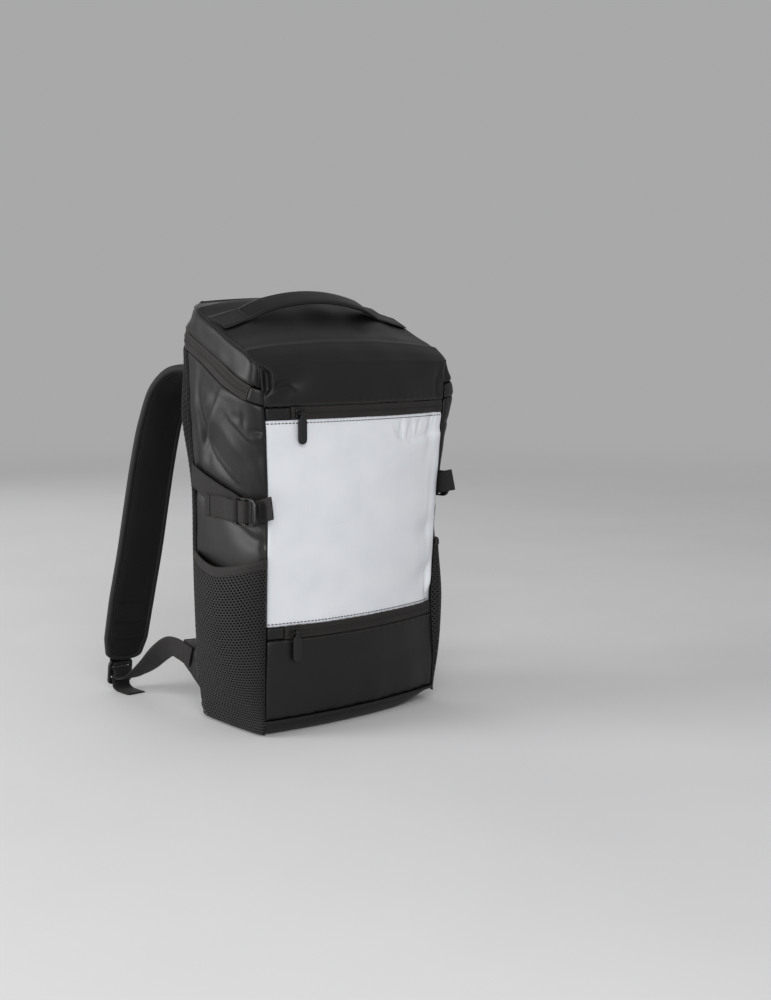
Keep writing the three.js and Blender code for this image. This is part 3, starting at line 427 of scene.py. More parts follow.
def reflective_look():
    look = Look("reflective_cloth", 0.42, 0.5)
    weft, warp, cloud = look.bands(0.0011, "X"), look.bands(0.0011, "Y"), look.noise(26, 3)
    dust, seam = look.noise(900, 2), look.mark("seam")
    weave = look.times(weft, warp)
    shade = look.weighted((weave, 0.3), (cloud, 0.5), (dust, 0.15), (seam, -0.25))
    # Near-white: the fabric's own light silver-grey, lifted by painted reflection that stands in for its
    # retroreflective glow.
    look.color(shade, (0.05, (0.64, 0.665, 0.71)), (0.45, (0.77, 0.79, 0.82)), (0.9, (0.83, 0.845, 0.865)))
    look.rough(look.weighted((weave, 0.5), (cloud, 0.5)), 0.34, 0.52)
    look.bump(look.weighted((weft, 0.5), (warp, 0.5)), 0.12, 0.5)
    return look.material


def woven_look(name, dark, light, rib, cross, depth, sheen=0.04):
    """A woven band: ribs of one pitch along it and finer yarns across."""
    look = Look(name, 0.7, 0.25, sheen)
    ribs, yarns = look.bands(rib, "Y", 0.3), look.bands(cross, "X", 0.2)
    fluff, cloud, seam = look.noise(3200, 2), look.noise(40, 3), look.mark("seam")
    weave = look.times(ribs, yarns)
    shade = look.weighted((weave, 0.45), (fluff, 0.2), (cloud, 0.25), (seam, 0.25))
    look.color(shade, (0.1, dark), (0.8, light))
    look.rough(look.weighted((cloud, 0.5), (fluff, 0.5)), 0.55, 0.82)
    look.bump(look.weighted((ribs, 0.55), (yarns, 0.35), (fluff, 0.2)), depth, 0.8)
    return look.material


def knit_look():
    look = Look("knitted_mesh", 0.6, 0.3, 0.05)
    fluff, loops, cloud = look.noise(2600, 3), look.cells(1500), look.noise(14, 3)
    shade = look.weighted((fluff, 0.4), (loops, 0.35), (cloud, 0.4))
    look.color(shade, (0.2, (0.006, 0.0057, 0.0056)), (0.85, (0.022, 0.0203, 0.0193)))
    look.rough(fluff, 0.45, 0.72)
    look.bump(look.weighted((fluff, 0.5), (loops, 0.6)), 0.2, 0.7)
    return look.material


def spacer_look(name, dark, light):
    look = Look(name, 0.75, 0.22, 0.05)
    fluff, cloud, pit = look.noise(2800, 3), look.noise(20, 3), look.mark("pit")
    # Painted shade: the pits are coloured down to near black, standing in for the shade inside the mesh's holes.
    shade = look.weighted((fluff, 0.35), (cloud, 0.35), (pit, -0.9))
    look.color(shade, (0.0, (0.0012, 0.0012, 0.0012)), (0.3, dark), (0.8, light))
    look.rough(fluff, 0.6, 0.88)
    look.bump(fluff, 0.18, 0.7)
    return look.material


def moulded_look(name, dark, light, low, high):
    look = Look(name, low, 0.4)
    fine, cloud = look.noise(1900, 2), look.noise(60, 3)
    shade = look.weighted((cloud, 0.6), (fine, 0.3))
    look.color(shade, (0.2, dark), (0.8, light))
    look.rough(look.weighted((cloud, 0.5), (fine, 0.5)), low, high)
    look.bump(fine, 0.04, 0.5)
    return look.material


def thread_look():
    look = Look("sewing_thread", 0.5, 0.5, 0.1)
    fine, cloud = look.noise(5200, 2), look.noise(90, 2)
    shade = look.weighted((fine, 0.5), (cloud, 0.4))
    look.color(shade, (0.2, (0.016, 0.0155, 0.015)), (0.8, (0.046, 0.044, 0.042)))
    look.bump(fine, 0.08, 0.6)
    return look.material


COATED = coated_look()
REFLECTIVE = reflective_look()
TAPE = woven_look("zip_tape", (0.007, 0.0063, 0.0059), (0.034, 0.0308, 0.0288), 0.0016, 0.0012, 0.3)
WEBBING = woven_look("webbing", (0.007, 0.0066, 0.0064), (0.036, 0.0322, 0.0304), 0.0021, 0.0024, 0.4)
BINDING = woven_look("edge_binding", (0.009, 0.0088, 0.0088), (0.03, 0.0288, 0.0285), 0.0011, 0.0016, 0.16)
KNIT = knit_look()
SPACER = spacer_look("spacer_mesh", (0.007, 0.0068, 0.0068), (0.017, 0.0163, 0.016))
# The back mesh's own dark grey, made lighter with painted light that stands in for light falling on the back strip.
BACK_MESH_PAINTED_LIGHT = spacer_look("back_mesh_painted_light", (0.022, 0.0212, 0.0206), (0.07, 0.0675, 0.0655))
PLASTIC = moulded_look("moulded_plastic", (0.004, 0.004, 0.0042), (0.008, 0.008, 0.008), 0.24, 0.4)
PULL = moulded_look("moulded_pull", (0.0055, 0.0055, 0.0057), (0.012, 0.0116, 0.0116), 0.42, 0.58)
# Near-black cloth, darker than the coated wall, used as painted shade behind the pocket nets and inside the rear
# seams.
SHADE_LINING = woven_look("pocket_shade_lining", (0.0012, 0.0012, 0.0012), (0.003, 0.0029, 0.0028), 0.0008, 0.0008, 0.05, 0.0)
METAL = moulded_look("dark_lacquer", (0.005, 0.005, 0.0052), (0.011, 0.0106, 0.0106), 0.16, 0.3)
THREAD = thread_look()


# Mesh making
def signed_volume(points, faces):
    total = 0.0
    for group in faces:
        a = points[group[:, 0]]
        for k in range(1, group.shape[1] - 1):
            total += np.einsum("ij,ij->", a, np.cross(points[group[:, k]], points[group[:, k + 1]]))
    return total


def make(name, points, faces, look, slot, uv=None, marks=None, nodes=()):
    """One piece from points in millimetres, groups of faces and cloth positions at each face's corners."""
    points = np.asarray(points, float)
    if signed_volume(points - points.mean(0), faces) < 0:
        faces = [group[:, ::-1] for group in faces]
        uv = uv and [group[:, ::-1] for group in uv]
    sizes = np.concatenate([np.full(len(group), group.shape[1]) for group in faces])
    corners = np.concatenate([group.ravel() for group in faces])
    mesh = bpy.data.meshes.new(name)
    mesh.vertices.add(len(points))
    mesh.vertices.foreach_set("co", (points * MM).ravel())
    mesh.loops.add(len(corners))
    mesh.loops.foreach_set("vertex_index", corners.astype(np.int32))
    mesh.polygons.add(len(sizes))
    mesh.polygons.foreach_set("loop_start", np.concatenate([[0], np.cumsum(sizes)[:-1]]).astype(np.int32))
    mesh.update(calc_edges=True)
    mesh.shade_smooth()
    if uv is not None:
        layer = mesh.uv_layers.new(name="cloth")
        flat = np.concatenate([group.reshape(-1, 2) for group in uv])
        layer.data.foreach_set("uv", (flat * MM).astype(np.float32).ravel())
    for mark, values in (marks or {}).items():
        mesh.attributes.new(mark, "FLOAT", "POINT").data.foreach_set("value", values.astype(np.float32).ravel())
    return place(name, mesh, look, slot, "bag", nodes)


def add_object(name, data):
    made = bpy.data.objects.new(name, data)
    bpy.context.scene.collection.objects.link(made)
    return made


def place(name, mesh, look, slot, body, nodes):
    piece = add_object(name, mesh)
    mesh.materials.append(look)
    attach(piece, body)
    if nodes:
        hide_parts(*nodes)
    return piece


def grid_quads(rows, cols, start=0):
    at = start + np.arange(rows * cols).reshape(rows, cols)
    return np.stack((at[:-1, :-1], at[:-1, 1:], at[1:, 1:], at[1:, :-1]), -1).reshape(-1, 4)


def ring_quads(rows, sides):
    """Point numbers of a tube of rings, the next ones round each ring, and the faces between."""
    at = np.arange(rows * sides).reshape(rows, sides)
    after = np.roll(at, -1, axis=1)
    return at, after, np.stack((at[:-1], after[:-1], after[1:], at[1:]), -1).reshape(-1, 4)


def perimeter(rows, cols):
    at = np.arange(rows * cols).reshape(rows, cols)
    return np.concatenate((at[0, :-1], at[:-1, -1], at[-1, :0:-1], at[:0:-1, 0]))


def runs(grid):
    """Distances along the cloth from its left, right, lower and upper edges."""
    u = np.zeros(grid.shape[:2])
    v = np.zeros(grid.shape[:2])
    u[:, 1:] = np.cumsum(np.linalg.norm(np.diff(grid, axis=1), axis=2), axis=1)
    v[1:] = np.cumsum(np.linalg.norm(np.diff(grid, axis=0), axis=2), axis=0)
    return u, u[:, -1:] - u, v, v[-1:] - v


def grid_normals(grid):
    normal = unit(np.cross(np.gradient(grid, axis=1), np.gradient(grid, axis=0)))
    return normal if np.sum(normal * (grid - CORE)) > 0 else -normal


# The lining of a panel has one point to this many of its face
STRIDE = 4
SEAM_FADE = 3.5


def steps(length, pitch):
    """Number of steps of about one pitch, a multiple of the lining's stride."""
    return STRIDE * max(1, round(length / pitch / STRIDE))


def shell(name, grid, thick, look, slot, relief=0.0, roll=(1.3, 2.2), pits=None, held=None, mirror=False, **more):
    """A closed cloth panel: a fine face with edges turned in at its seams and a coarser lining."""
    left, right, low, high = runs(grid)
    edge = np.minimum(np.minimum(left, right), np.minimum(low, high))
    drop = sum(roll[0] * bell(d, 0, roll[1]) for d in (left, right, low, high))
    normal = grid_normals(grid)
    outer = grid + normal * (relief - drop)[..., None]
    normal = grid_normals(outer)
    lining = (grid - normal * (thick + roll[0]))[::STRIDE, ::STRIDE]
    if mirror:
        outer, lining, normal = outer * FLIP, lining * FLIP, normal * FLIP
    rows, cols = grid.shape[:2]
    base = rows * cols
    inner = grid_quads(*lining.shape[:2], base)[:, ::-1]
    fine, coarse = perimeter(rows, cols), base + perimeter(*lining.shape[:2])
    fine = np.append(fine, fine[0])
    start, end = coarse, np.roll(coarse, -1)
    pick = np.arange(len(coarse)) * STRIDE
    half = STRIDE // 2
    rim = [np.stack((fine[pick + m + 1], fine[pick + m], start if m < half else end), -1) for m in range(STRIDE)]
    rim.append(np.stack((fine[pick + half], start, end), -1))
    faces = [grid_quads(rows, cols), inner, np.concatenate(rim)]
    spots = np.stack((left, low), -1)
    spots = np.concatenate((spots.reshape(-1, 2), spots[::STRIDE, ::STRIDE].reshape(-1, 2)))
    seam = np.exp(-edge / SEAM_FADE)
    marks = {"seam": np.concatenate((seam.ravel(), seam[::STRIDE, ::STRIDE].ravel()))}
    if pits is not None:
        marks["pit"] = np.concatenate((pits.ravel(), np.zeros(lining.shape[0] * lining.shape[1])))
    points = np.concatenate((outer.reshape(-1, 3), lining.reshape(-1, 3)))
    piece = make(name, points, faces, look, slot, [spots[group] for group in faces], marks, **more)
    return {"piece": piece, "face": outer, "normal": normal, "left": left, "right": right, "low": low, "high": high}


def inset_line(panel, edge, distance, start=0.0, end=1.0):
    """Points and normals on a panel's face at one distance in from an edge."""
    away, face, normal = panel[edge], panel["face"], panel["normal"]
    if edge in ("low", "high"):
        away, face, normal = away.T, face.transpose(1, 0, 2), normal.transpose(1, 0, 2)
    if edge in ("right", "high"):
        away, face, normal = away[:, ::-1], face[:, ::-1], normal[:, ::-1]
    count = len(away)
    pick = range(int(start * (count - 1)), int(end * (count - 1)) + 1)
    line, up = (np.array([read_along(away[i], table[i], distance) for i in pick]) for table in (face, normal))
    return line, unit(up)


# Sewing thread: every stitch is a short rounded bead that dives into the cloth at both ends
stitches = []
BEAD_SIDES = 5
FINE_PITCH = 2.6
COARSE_STITCH = {"pitch": 4.4, "share": 0.8, "radius": 0.6, "lift": 0.2}


def sew(points, normals, pitch=3.6, share=0.74, radius=0.34, lift=0.1):
    points, normals = np.asarray(points, float), np.asarray(normals, float)
    run = run_along(points)
    count = int(run[-1] / pitch)
    if count < 1:
        return
    centres = (np.arange(count) + 0.5) * run[-1] / count
    half = pitch * share / 2
    up = unit(read_along(run, normals, centres))
    tips = [read_along(run, points, centres + side * half) for side in (-1, 1)]
    along = unit(tips[1] - tips[0])
    across = unit(np.cross(along, up))
    rings = []
    for tip, side in zip(tips, (1, -1)):
        middle = tip + along * (side * half * 0.35) + up * lift
        angles = np.arange(BEAD_SIDES) * 2 * np.pi / BEAD_SIDES
        ring = [middle + radius * (across * np.cos(a) + up * np.sin(a)) for a in angles]
        rings.append(np.stack(ring, 1))
    tips = [tip - up * radius * 0.6 for tip in tips]
    stitches.append(np.concatenate((tips[0][:, None], rings[0], rings[1], tips[1][:, None]), 1))


def finish_stitches():
    beads = np.concatenate(stitches)
    k = np.arange(BEAD_SIDES)
    after = (k + 1) % BEAD_SIDES
    second, last = 1 + BEAD_SIDES, 1 + 2 * BEAD_SIDES
    caps = np.concatenate((np.stack((k * 0, 1 + after, 1 + k), -1),
                           np.stack((k * 0 + last, second + k, second + after), -1)))
    sides = np.stack((1 + k, 1 + after, second + after, second + k), -1)
    base = (last + 1) * np.arange(len(beads))[:, None, None]
    faces = [(sides + base).reshape(-1, 4), (caps + base).reshape(-1, 3)]
    make("seam_stitching", beads.reshape(-1, 3), faces, THREAD, "webbing")


# Swept bands
def course(rows, pitch):
    """Evenly spaced stations of a smooth course: place, across direction, width and thickness."""
    rows = np.asarray(rows, float)

    def through(points, t):
        last = len(points) - 1
        at = np.clip(t * last, 0, last - 1e-9)
        i = at.astype(int)
        w = (at - i)[:, None]
        padded = np.vstack((2 * points[0] - points[1], points, 2 * points[-1] - points[-2]))
        p0, p1, p2, p3 = (padded[i + k] for k in range(4))
        gaps = [np.maximum(np.linalg.norm(b - a, axis=1, keepdims=True) ** 0.5, 1e-4)
                for a, b in ((p0, p1), (p1, p2), (p2, p3))]
        d0, d1, d2 = gaps
        m1 = ((p1 - p0) / d0 - (p2 - p0) / (d0 + d1) + (p2 - p1) / d1) * d1
        m2 = ((p2 - p1) / d1 - (p3 - p1) / (d1 + d2) + (p3 - p2) / d2) * d1
        return p1 + m1 * w + (3 * (p2 - p1) - 2 * m1 - m2) * w ** 2 + (2 * (p1 - p2) + m1 + m2) * w ** 3

    dense = np.linspace(0, 1, 40 * len(rows))
    at = through(rows[:, :3], dense)
    run = run_along(at)
    even = np.interp(np.linspace(0, run[-1], int(run[-1] / pitch) + 1), run, dense)
    at = through(rows[:, :3], even)
    rest = read_along(np.arange(len(rows)), rows[:, 3:], even * (len(rows) - 1))
    return framed(at, rest[:, :3], rest[:, 3:])


def framed(at, across, sizes):
    tangent = unit(np.gradient(at, axis=0))
    across = unit(across - tangent * np.sum(across * tangent, 1, keepdims=True))
    return {"at": at, "along": tangent, "across": across, "out": np.cross(tangent, across),
            "width": sizes[:, 0], "thick": sizes[:, 1]}


def tube_points(path, ring):
    return (path["at"][:, None]
            + path["across"][:, None] * (ring[None, :, :1] * path["width"][:, None, None] / 2)
            + path["out"][:, None] * (ring[None, :, 1:] * path["thick"][:, None, None] / 2))


def tube(name, grid, look, slot, ring_run, marks=None, mirror=False, **more):
    """A closed band from rings of points; ring_run is the cloth's own position round the ring."""
    rows, sides = grid.shape[:2]
    if mirror:
        grid = grid * FLIP
    at, _, quads = ring_quads(rows, sides)
    length = run_along(grid.mean(1))
    u = np.broadcast_to(np.asarray(ring_run, float), (rows - 1, sides + 1))
    corner = lambda j, i: np.stack((u[:, i], np.broadcast_to(length[j, None], (rows - 1, sides))), -1)
    low, high = slice(0, rows - 1), slice(1, rows)
    first, second = slice(0, sides), slice(1, sides + 1)
    spots = np.stack((corner(low, first), corner(low, second), corner(high, second), corner(high, first)), 2)
    caps = np.concatenate([[[at[0, 0], at[0, k + 1], at[0, k]], [at[-1, 0], at[-1, k], at[-1, k + 1]]]
                           for k in range(1, sides - 1)])
    faces = [quads, caps]
    uv = [spots.reshape(-1, 4, 2), np.zeros((len(caps), 3, 2))]
    return make(name, grid.reshape(-1, 3), faces, look, slot, uv, marks, **more)


def flat_ring(width):
    """Section of a webbing with rounded selvedges, and the cloth's position round it."""
    a = np.linspace(-1, 1, 9)
    shape = 1 - 0.55 * np.abs(a) ** 8
    upper = np.stack((a, shape), -1)
    lower = np.stack((a[::-1], -shape[::-1]), -1)
    ring = np.concatenate((upper, lower))
    run = np.concatenate(((a + 1) * width / 2, (a[::-1] + 1) * width / 2, [0.0]))
    return ring, run


WEB_WIDTH, WEB_THICK = 25.0, 1.5


def webbing(name, rows, nodes, mirror=False, pitch=1.5):
    path = course(rows, pitch)
    ring, run = flat_ring(WEB_WIDTH)
    piece = tube(name, tube_points(path, ring), WEBBING, "webbing", run, mirror=mirror, nodes=nodes)
    return path


def mirrored_line(points, normals, mirror):
    return (points * FLIP, normals * FLIP) if mirror else (points, normals)


def sew_bar(line, out, mirror):
    """A short sewn bar of finer stitches."""
    sew(*mirrored_line(line, np.tile(out, (len(line), 1)), mirror), pitch=2.4, radius=0.3)


def sew_across(path, k, out, mirror):
    """A sewn bar across one station of a webbing."""
    share = np.linspace(-0.44, 0.44, 10)[:, None]
    sew_bar(path["at"][k] + path["across"][k] * WEB_WIDTH * share + np.array(out) * 0.85, out, mirror)


def round_stops(start, level, count, pitch=0.0, samples=400):
    """Even stops along the wall from the left over the back to the right; without a count the pitch sets it."""
    p = np.linspace(start, 1, samples)
    run = run_along(np.stack(plan_left(p, np.full(samples, level)), -1))
    half = count // 2 or steps(run[-1], pitch)
    left = np.interp(np.linspace(0, run[-1], half + 1), run, p) - 1
    return np.concatenate((left, -left[-2::-1]))


# Front panels, which stop just short of the corner seams
EDGE = 1 - 0.002


def front_grid(low, high, pitch):
    s = np.linspace(-EDGE, EDGE, steps(2 * EDGE * FRONT_HALF, pitch) + 1)
    z = np.linspace(low, high, steps(high - low, pitch) + 1)
    return front_point(*np.meshgrid(s, z))


def panel_stops(start, end, across, up):
    """Places along a panel and shares of its height, as grids."""
    return np.meshgrid(np.linspace(start, end, across), np.linspace(0, 1, up))


grid = front_grid(BASE_SEAM + GAP, LOWER_ZIP[0] - GAP, 2.4)
u, z = grid[..., 0], grid[..., 2]
pucker = 0.35 * np.sin(u / 2.1) * np.exp(-(LOWER_ZIP[0] - z) / 5)
pucker = pucker + 0.5 * np.sin(u / 3.1) * np.exp(-(z - BASE_SEAM) / 7)
lower_front = shell("front_lower_cloth", grid, PANEL_THICK, COATED, "coated", 0.7 * ripple(u, z, 60, 1) + pucker,
                    nodes=("front_lower_panel",), held="stretched")

grid = front_grid(LOWER_ZIP[1] + GAP, UPPER_ZIP[0] - GAP, 1.6)
u, z = grid[..., 0], grid[..., 2]
gathers = fold_height(WHITE_CREASES, u, z) + line_height(WHITE_LINES, u, z)
gathers = gathers + 0.5 * np.sin(u / 2.3 - z / 40) * bell(u, 124, 16) * bell(z, 230, 60)
pucker = 0.3 * np.sin(u / 1.7) * (np.exp(-(z - LOWER_ZIP[1]) / 5) + np.exp(-(UPPER_ZIP[0] - z) / 5))
white = shell("reflective_cloth", grid, PANEL_THICK, REFLECTIVE, "reflective",
              0.55 * ripple(u, z, 70, 2) + gathers + pucker, nodes=("reflective_panel",), held="stretched")


# Zip tapes reach a little under the panels and lie a little in from the wall
TAPE_UNDER, TAPE_INSET, TAPE_ROLL = 0.6, 0.9, (0.2, 1.0)


def zip_profile(share):
    """Height of a closed zip across its tape: two humps over the coil and a groove between them."""
    hump = 0.8 * (bell(share, 0.36, 0.1) + bell(share, 0.64, 0.1))
    return hump - 0.7 * bell(share, 0.5, 0.035) - 0.3 * (bell(share, 0.14, 0.05) + bell(share, 0.86, 0.05))


def front_zip(name, span, tab_end):
    middle = (span[0] + span[1]) / 2
    end = tab_end / section(np.float64(middle), 0.0)[0]
    s, share = panel_stops(end, EDGE, steps((EDGE - end) * FRONT_HALF, 1.6) + 1, 21)
    grid = front_point(s, mix(span[0] - TAPE_UNDER, span[1] + TAPE_UNDER, share), TAPE_INSET)
    tape = shell(f"{name}_zip_cloth", grid, PATCH_THICK, TAPE, "tape", zip_profile(share), TAPE_ROLL,
                 nodes=(f"{name}_zip_tape",), held="stretched")
    s, share = panel_stops(-EDGE, end, 13, 9)
    tab = shell(f"{name}_zip_end_patch", front_point(s, mix(*span, share), 0.2), PATCH_THICK, COATED, "coated",
                0.0, (0.7, 1.4), nodes=(f"{name}_zip_end_tab",))
    for distance in (2.2, 4.2):
        sew(*inset_line(tab, "right", distance), pitch=FINE_PITCH)
    sew(*inset_line(tape, "left", 3.0), pitch=FINE_PITCH)


front_zip("lower", LOWER_ZIP, -106)
front_zip("upper", UPPER_ZIP, -104)
for edge in ("low", "high"):
    sew(*inset_line(white, edge, 3.4), **COARSE_STITCH)
sew(*inset_line(lower_front, "high", 3.0))

# Top panel: at the left front corner its edge stands off the seam as a lip, with the cloth tucked in behind it
LIP_RISE, LIP_FALL, LIP_SPREAD, LIP_OUT, LIP_DEEP = (374, 387), (401, 413), 13, (8.5, -4.5, 0), (13, 12, 0)
TUCK_STOPS, EASED_STOPS, EASE_ROUNDS = 8, 24, 7
front_rows = np.linspace(-1, 0, 41)
top_rows = np.interp(np.linspace(0, 1, 81), (0, 0.85, 1), (0, SIDE_END, CORNER_END))
s, row = np.meshgrid(np.linspace(-1, 1, 161), np.concatenate((front_rows[:-1], top_rows)))
grid = top_point(s, row)
left, right, low, _ = runs(grid)
x, z, depth = grid[..., 0], grid[..., 2], top_edge(row)[1]
pinch = 2.4 * bell(right, 6, 3) * bell(z, 380, 14) - 1.8 * bell(right, 14, 5) * bell(z, 386, 16)
crease = (0.8 * bell(depth, -53, 2.6) - 0.7 * bell(depth, -47, 5)) * (row > 0)
sag = -2.0 * bell(x, 0, 80) * bell(depth, -18, 20)
pucker = 0.35 * np.sin(x / 1.9) * np.exp(-low / 5)
relief = pinch + crease + sag + pucker + 0.8 * ripple(x, low, 75, 3) + (row < 0) * line_height(LID_LINES, x, z)
lip = smoothstep(z, *LIP_RISE) * (1 - smoothstep(z, *LIP_FALL))
seam = grid[:, :1].copy()
deep = seam + lip[:, :1, None] * LIP_DEEP
grid = grid + (lip * bell(left, 0, LIP_SPREAD))[..., None] * LIP_OUT
share = np.linspace(0, 1, TUCK_STOPS + 1)[None, :-1, None]
tuck = (1 - share) ** 2 * seam + 2 * share * (1 - share) * deep + share ** 2 * grid[:, :1] - (1 - share) * (0.4, 0, 0)
grid = np.concatenate((tuck, grid), 1)
for _ in range(EASE_ROUNDS):
    before, here, beyond = (grid[:, 2 + k:EASED_STOPS + k] for k in (-1, 0, 1))
    grid[:, 2:EASED_STOPS] = 0.25 * before + 0.5 * here + 0.25 * beyond
lid = shell("top_cloth", grid, PANEL_THICK, COATED, "coated", np.pad(relief, ((0, 0), (TUCK_STOPS, 0))), (1.5, 2.4),
            nodes=("top_panel",), held="stretched")
sew(*inset_line(lid, "low", 3.0))

# Lid gusset and main zip round the sides and the back
ZIP_LEVEL = 410.0
q, share = np.meshgrid(round_stops(SEAM_START, ZIP_LEVEL, 0, 2.4), np.linspace(0, 1, 17))
p = 1 - np.abs(q)
low_edge = zip_height(ZIP_UPPER_EDGE, p) + GAP
high_edge = rim_height(p) - 1.4 - 1.8 * np.clip((p - CORNER_END) / 0.1, 0, 1)
grid = wall_round(q, mix(low_edge, high_edge, share))
run = runs(grid)[0]
swell = 1.9 * (1 - (2 * share - 1) ** 6) * np.clip((high_edge - low_edge) / 30, 0, 1)
swell = swell - 6.5 * (bell(run, 0, 9) + bell(run, run[:, -1:], 9))
swell = swell - 4.2 * bell(p, 0.655, 0.09) * np.sin(np.pi * share) ** 0.8
gusset = shell("lid_gusset_cloth", grid, PANEL_THICK, COATED, "coated", swell + 0.5 * ripple(run, share * 30, 45, 4),
               (1.5, 2.2), nodes=("lid_gusset",), held="stretched")
sew(*inset_line(gusset, "low", 2.6, 0.11, 0.89))


def zip_end(share):
    """Where the main zip's end tab meets the tape, slanting with the height."""
    return 0.135 - 0.035 * share


q, share = np.meshgrid(round_stops(ZIP_START, ZIP_LEVEL, 0, 1.8), np.linspace(0, 1, 25))
p = 1 - np.abs(q)
p = p - (ZIP_START - zip_end(share)) * np.exp(-(p - ZIP_START) / 0.1)
q = (1 - p) * np.sign(q)
low_edge, high_edge = zip_height(ZIP_LOWER_EDGE, p) - TAPE_UNDER, zip_height(ZIP_UPPER_EDGE, p) + TAPE_UNDER
grid = wall_round(q, mix(low_edge, high_edge, share), TAPE_INSET)
tape = shell("main_zip_cloth", grid, PATCH_THICK, TAPE, "tape", zip_profile(share), TAPE_ROLL,
             nodes=("main_zip_tape",), held="stretched")
for edge in ("left", "right"):
    sew(*inset_line(tape, edge, 1.4), pitch=1.9)

for side, mirror in SIDES:
    along, share = panel_stops(0, 1, 25, 13)
    p = mix(SEAM_START, zip_end(share), along)
    z = mix(zip_height(ZIP_LOWER_EDGE, p), zip_height(ZIP_UPPER_EDGE, p), share)
    tab = shell(f"main_zip_end_patch_{side}", wall_left(p, z, 0.0, mirror), PATCH_THICK, COATED, "coated",
                0.0, (0.8, 1.5), mirror=mirror, nodes=(f"main_zip_end_tab_{side}",))
    sew(*inset_line(tab, "right", 1.8), pitch=FINE_PITCH)

# Side panels: the cloth is pressed flat under the compression strap
PRESS_LEVEL, PRESS_SLOPE, PRESS_EDGE, PRESS_DEPTH = 265, 0.27, (14, 24), 0.8
for side, mirror in SIDES:
    p, share = panel_stops(SEAM_START, SIDE_END - 0.002, 97, 225)
    grid = wall_left(p, mix(BASE_SEAM + GAP, zip_height(ZIP_LOWER_EDGE, p) - GAP, share), 0.0, mirror)
    y, z = grid[..., 1], grid[..., 2]
    fade = np.clip(np.minimum(p, SIDE_END - p) / 0.05, 0, 1)
    creases = (1 - 0.6 * mirror) * fade * (fold_height(SIDE_CREASES, y, z) + line_height(SIDE_LINES, y, z))
    creases = creases + 0.5 * ripple(y, z, 42, 5 + mirror) * smoothstep(z, 180, 260)
    pressed = 1 - smoothstep(np.abs(z - RIGHT_LIFT * mirror - PRESS_LEVEL - PRESS_SLOPE * y), *PRESS_EDGE)
    creases = creases * (1 - pressed) - PRESS_DEPTH * pressed
    wall = shell(f"side_cloth_{side}", grid, PANEL_THICK, COATED, "coated", creases, (1.3, 2.0), mirror=mirror,
                 nodes=(f"side_panel_{side}",), held="stretched")
    sew(*inset_line(wall, "high", 2.6, 0.27))


# Mesh pockets: a knitted net of six-sided holes
POCKET_END = SIDE_END - 0.004
NET_BOTTOM, NET_TUCK, FRONT_PULL, RIM_PULL = 2.5, 8.0, 1.7, 1.4
NET_CELL, NET_HOLE, NET_THICK, NET_WIDTH, NET_HEIGHT = 2.05, 0.6, 1.1, 98.0, 182.0
LINING_ROLL = (0.1, 1.0)
SEAM_TAPE_WIDTH, SEAM_TAPE_INSET = 0.05, 4.2
angles = np.radians(np.arange(6) * 60 + 30)
HEXAGON = np.stack((np.cos(angles), np.sin(angles)), -1) * NET_CELL


def pocket_rim(p):
    return sample(POCKET_RIM, "y", "z", depth_at(p))


def pocket_point(p, z, out, more):
    """A point of the pocket, which is tucked in at the floor, sewn down at the front and drawn in at the rim."""
    share = np.clip((z - POCKET_BOTTOM) / (pocket_rim(p) - POCKET_BOTTOM), 0, 1)
    along = (p - POCKET_START) / (SIDE_END - POCKET_START)
    across = np.clip(np.sin(np.pi * along), 0, 1) ** np.where(along < 0.5, 0.6, 1.0)
    off = POCKET_CLEAR + out + across * (POCKET_SWELL * np.sin(2.2 * share) + more * np.sin(np.pi * share))
    off = off - 0.12 * np.maximum(NET_TUCK - z, 0) ** 2
    off = off - FRONT_PULL * (1 - smoothstep(p, POCKET_START, POCKET_START + 0.03))
    off = off - RIM_PULL * more * across * smoothstep(share, 0.55, 1)
    step = wall_left(np.minimum(p + 0.01, SIDE_END), z) - wall_left(np.maximum(p - 0.01, 0), z)
    normal = unit(np.stack((-step[..., 1], step[..., 0], np.zeros_like(step[..., 0])), -1))
    return wall_left(p, z) + normal * np.asarray(off)[..., None]


def net_bottom(p, mirror):
    """Lower edge of the net, which rises with the rounder right front corner of the base."""
    return NET_BOTTOM + CORNER_NET_LIFT * mirror * bell(depth_at(p), BASE_CORNER[1], CORNER_SPREAD)


def net_flat():
    """Corners, cells and hole corners of a six-sided net cut to a rectangle."""
    dx, dy = math.sqrt(3) * NET_CELL, 1.5 * NET_CELL
    centres = [((i + 0.5 * (j % 2)) * dx, j * dy)
               for j in range(int(NET_HEIGHT / dy) + 2) for i in range(int(NET_WIDTH / dx) + 2)]
    clipped = np.clip(np.array(centres)[:, None] + HEXAGON, 0, (NET_WIDTH, NET_HEIGHT))
    x, y = clipped[..., 0], clipped[..., 1]
    area = 0.5 * np.abs(np.sum(x * np.roll(y, -1, 1) - y * np.roll(x, -1, 1), 1))
    clipped = clipped[area > 0.45 * area.max()]
    spots, cells = np.unique(np.round(clipped.reshape(-1, 2), 3), axis=0, return_inverse=True)
    middle = clipped.mean(1, keepdims=True)
    return spots, cells.reshape(-1, 6), mix(middle, clipped, NET_HOLE).reshape(-1, 2)


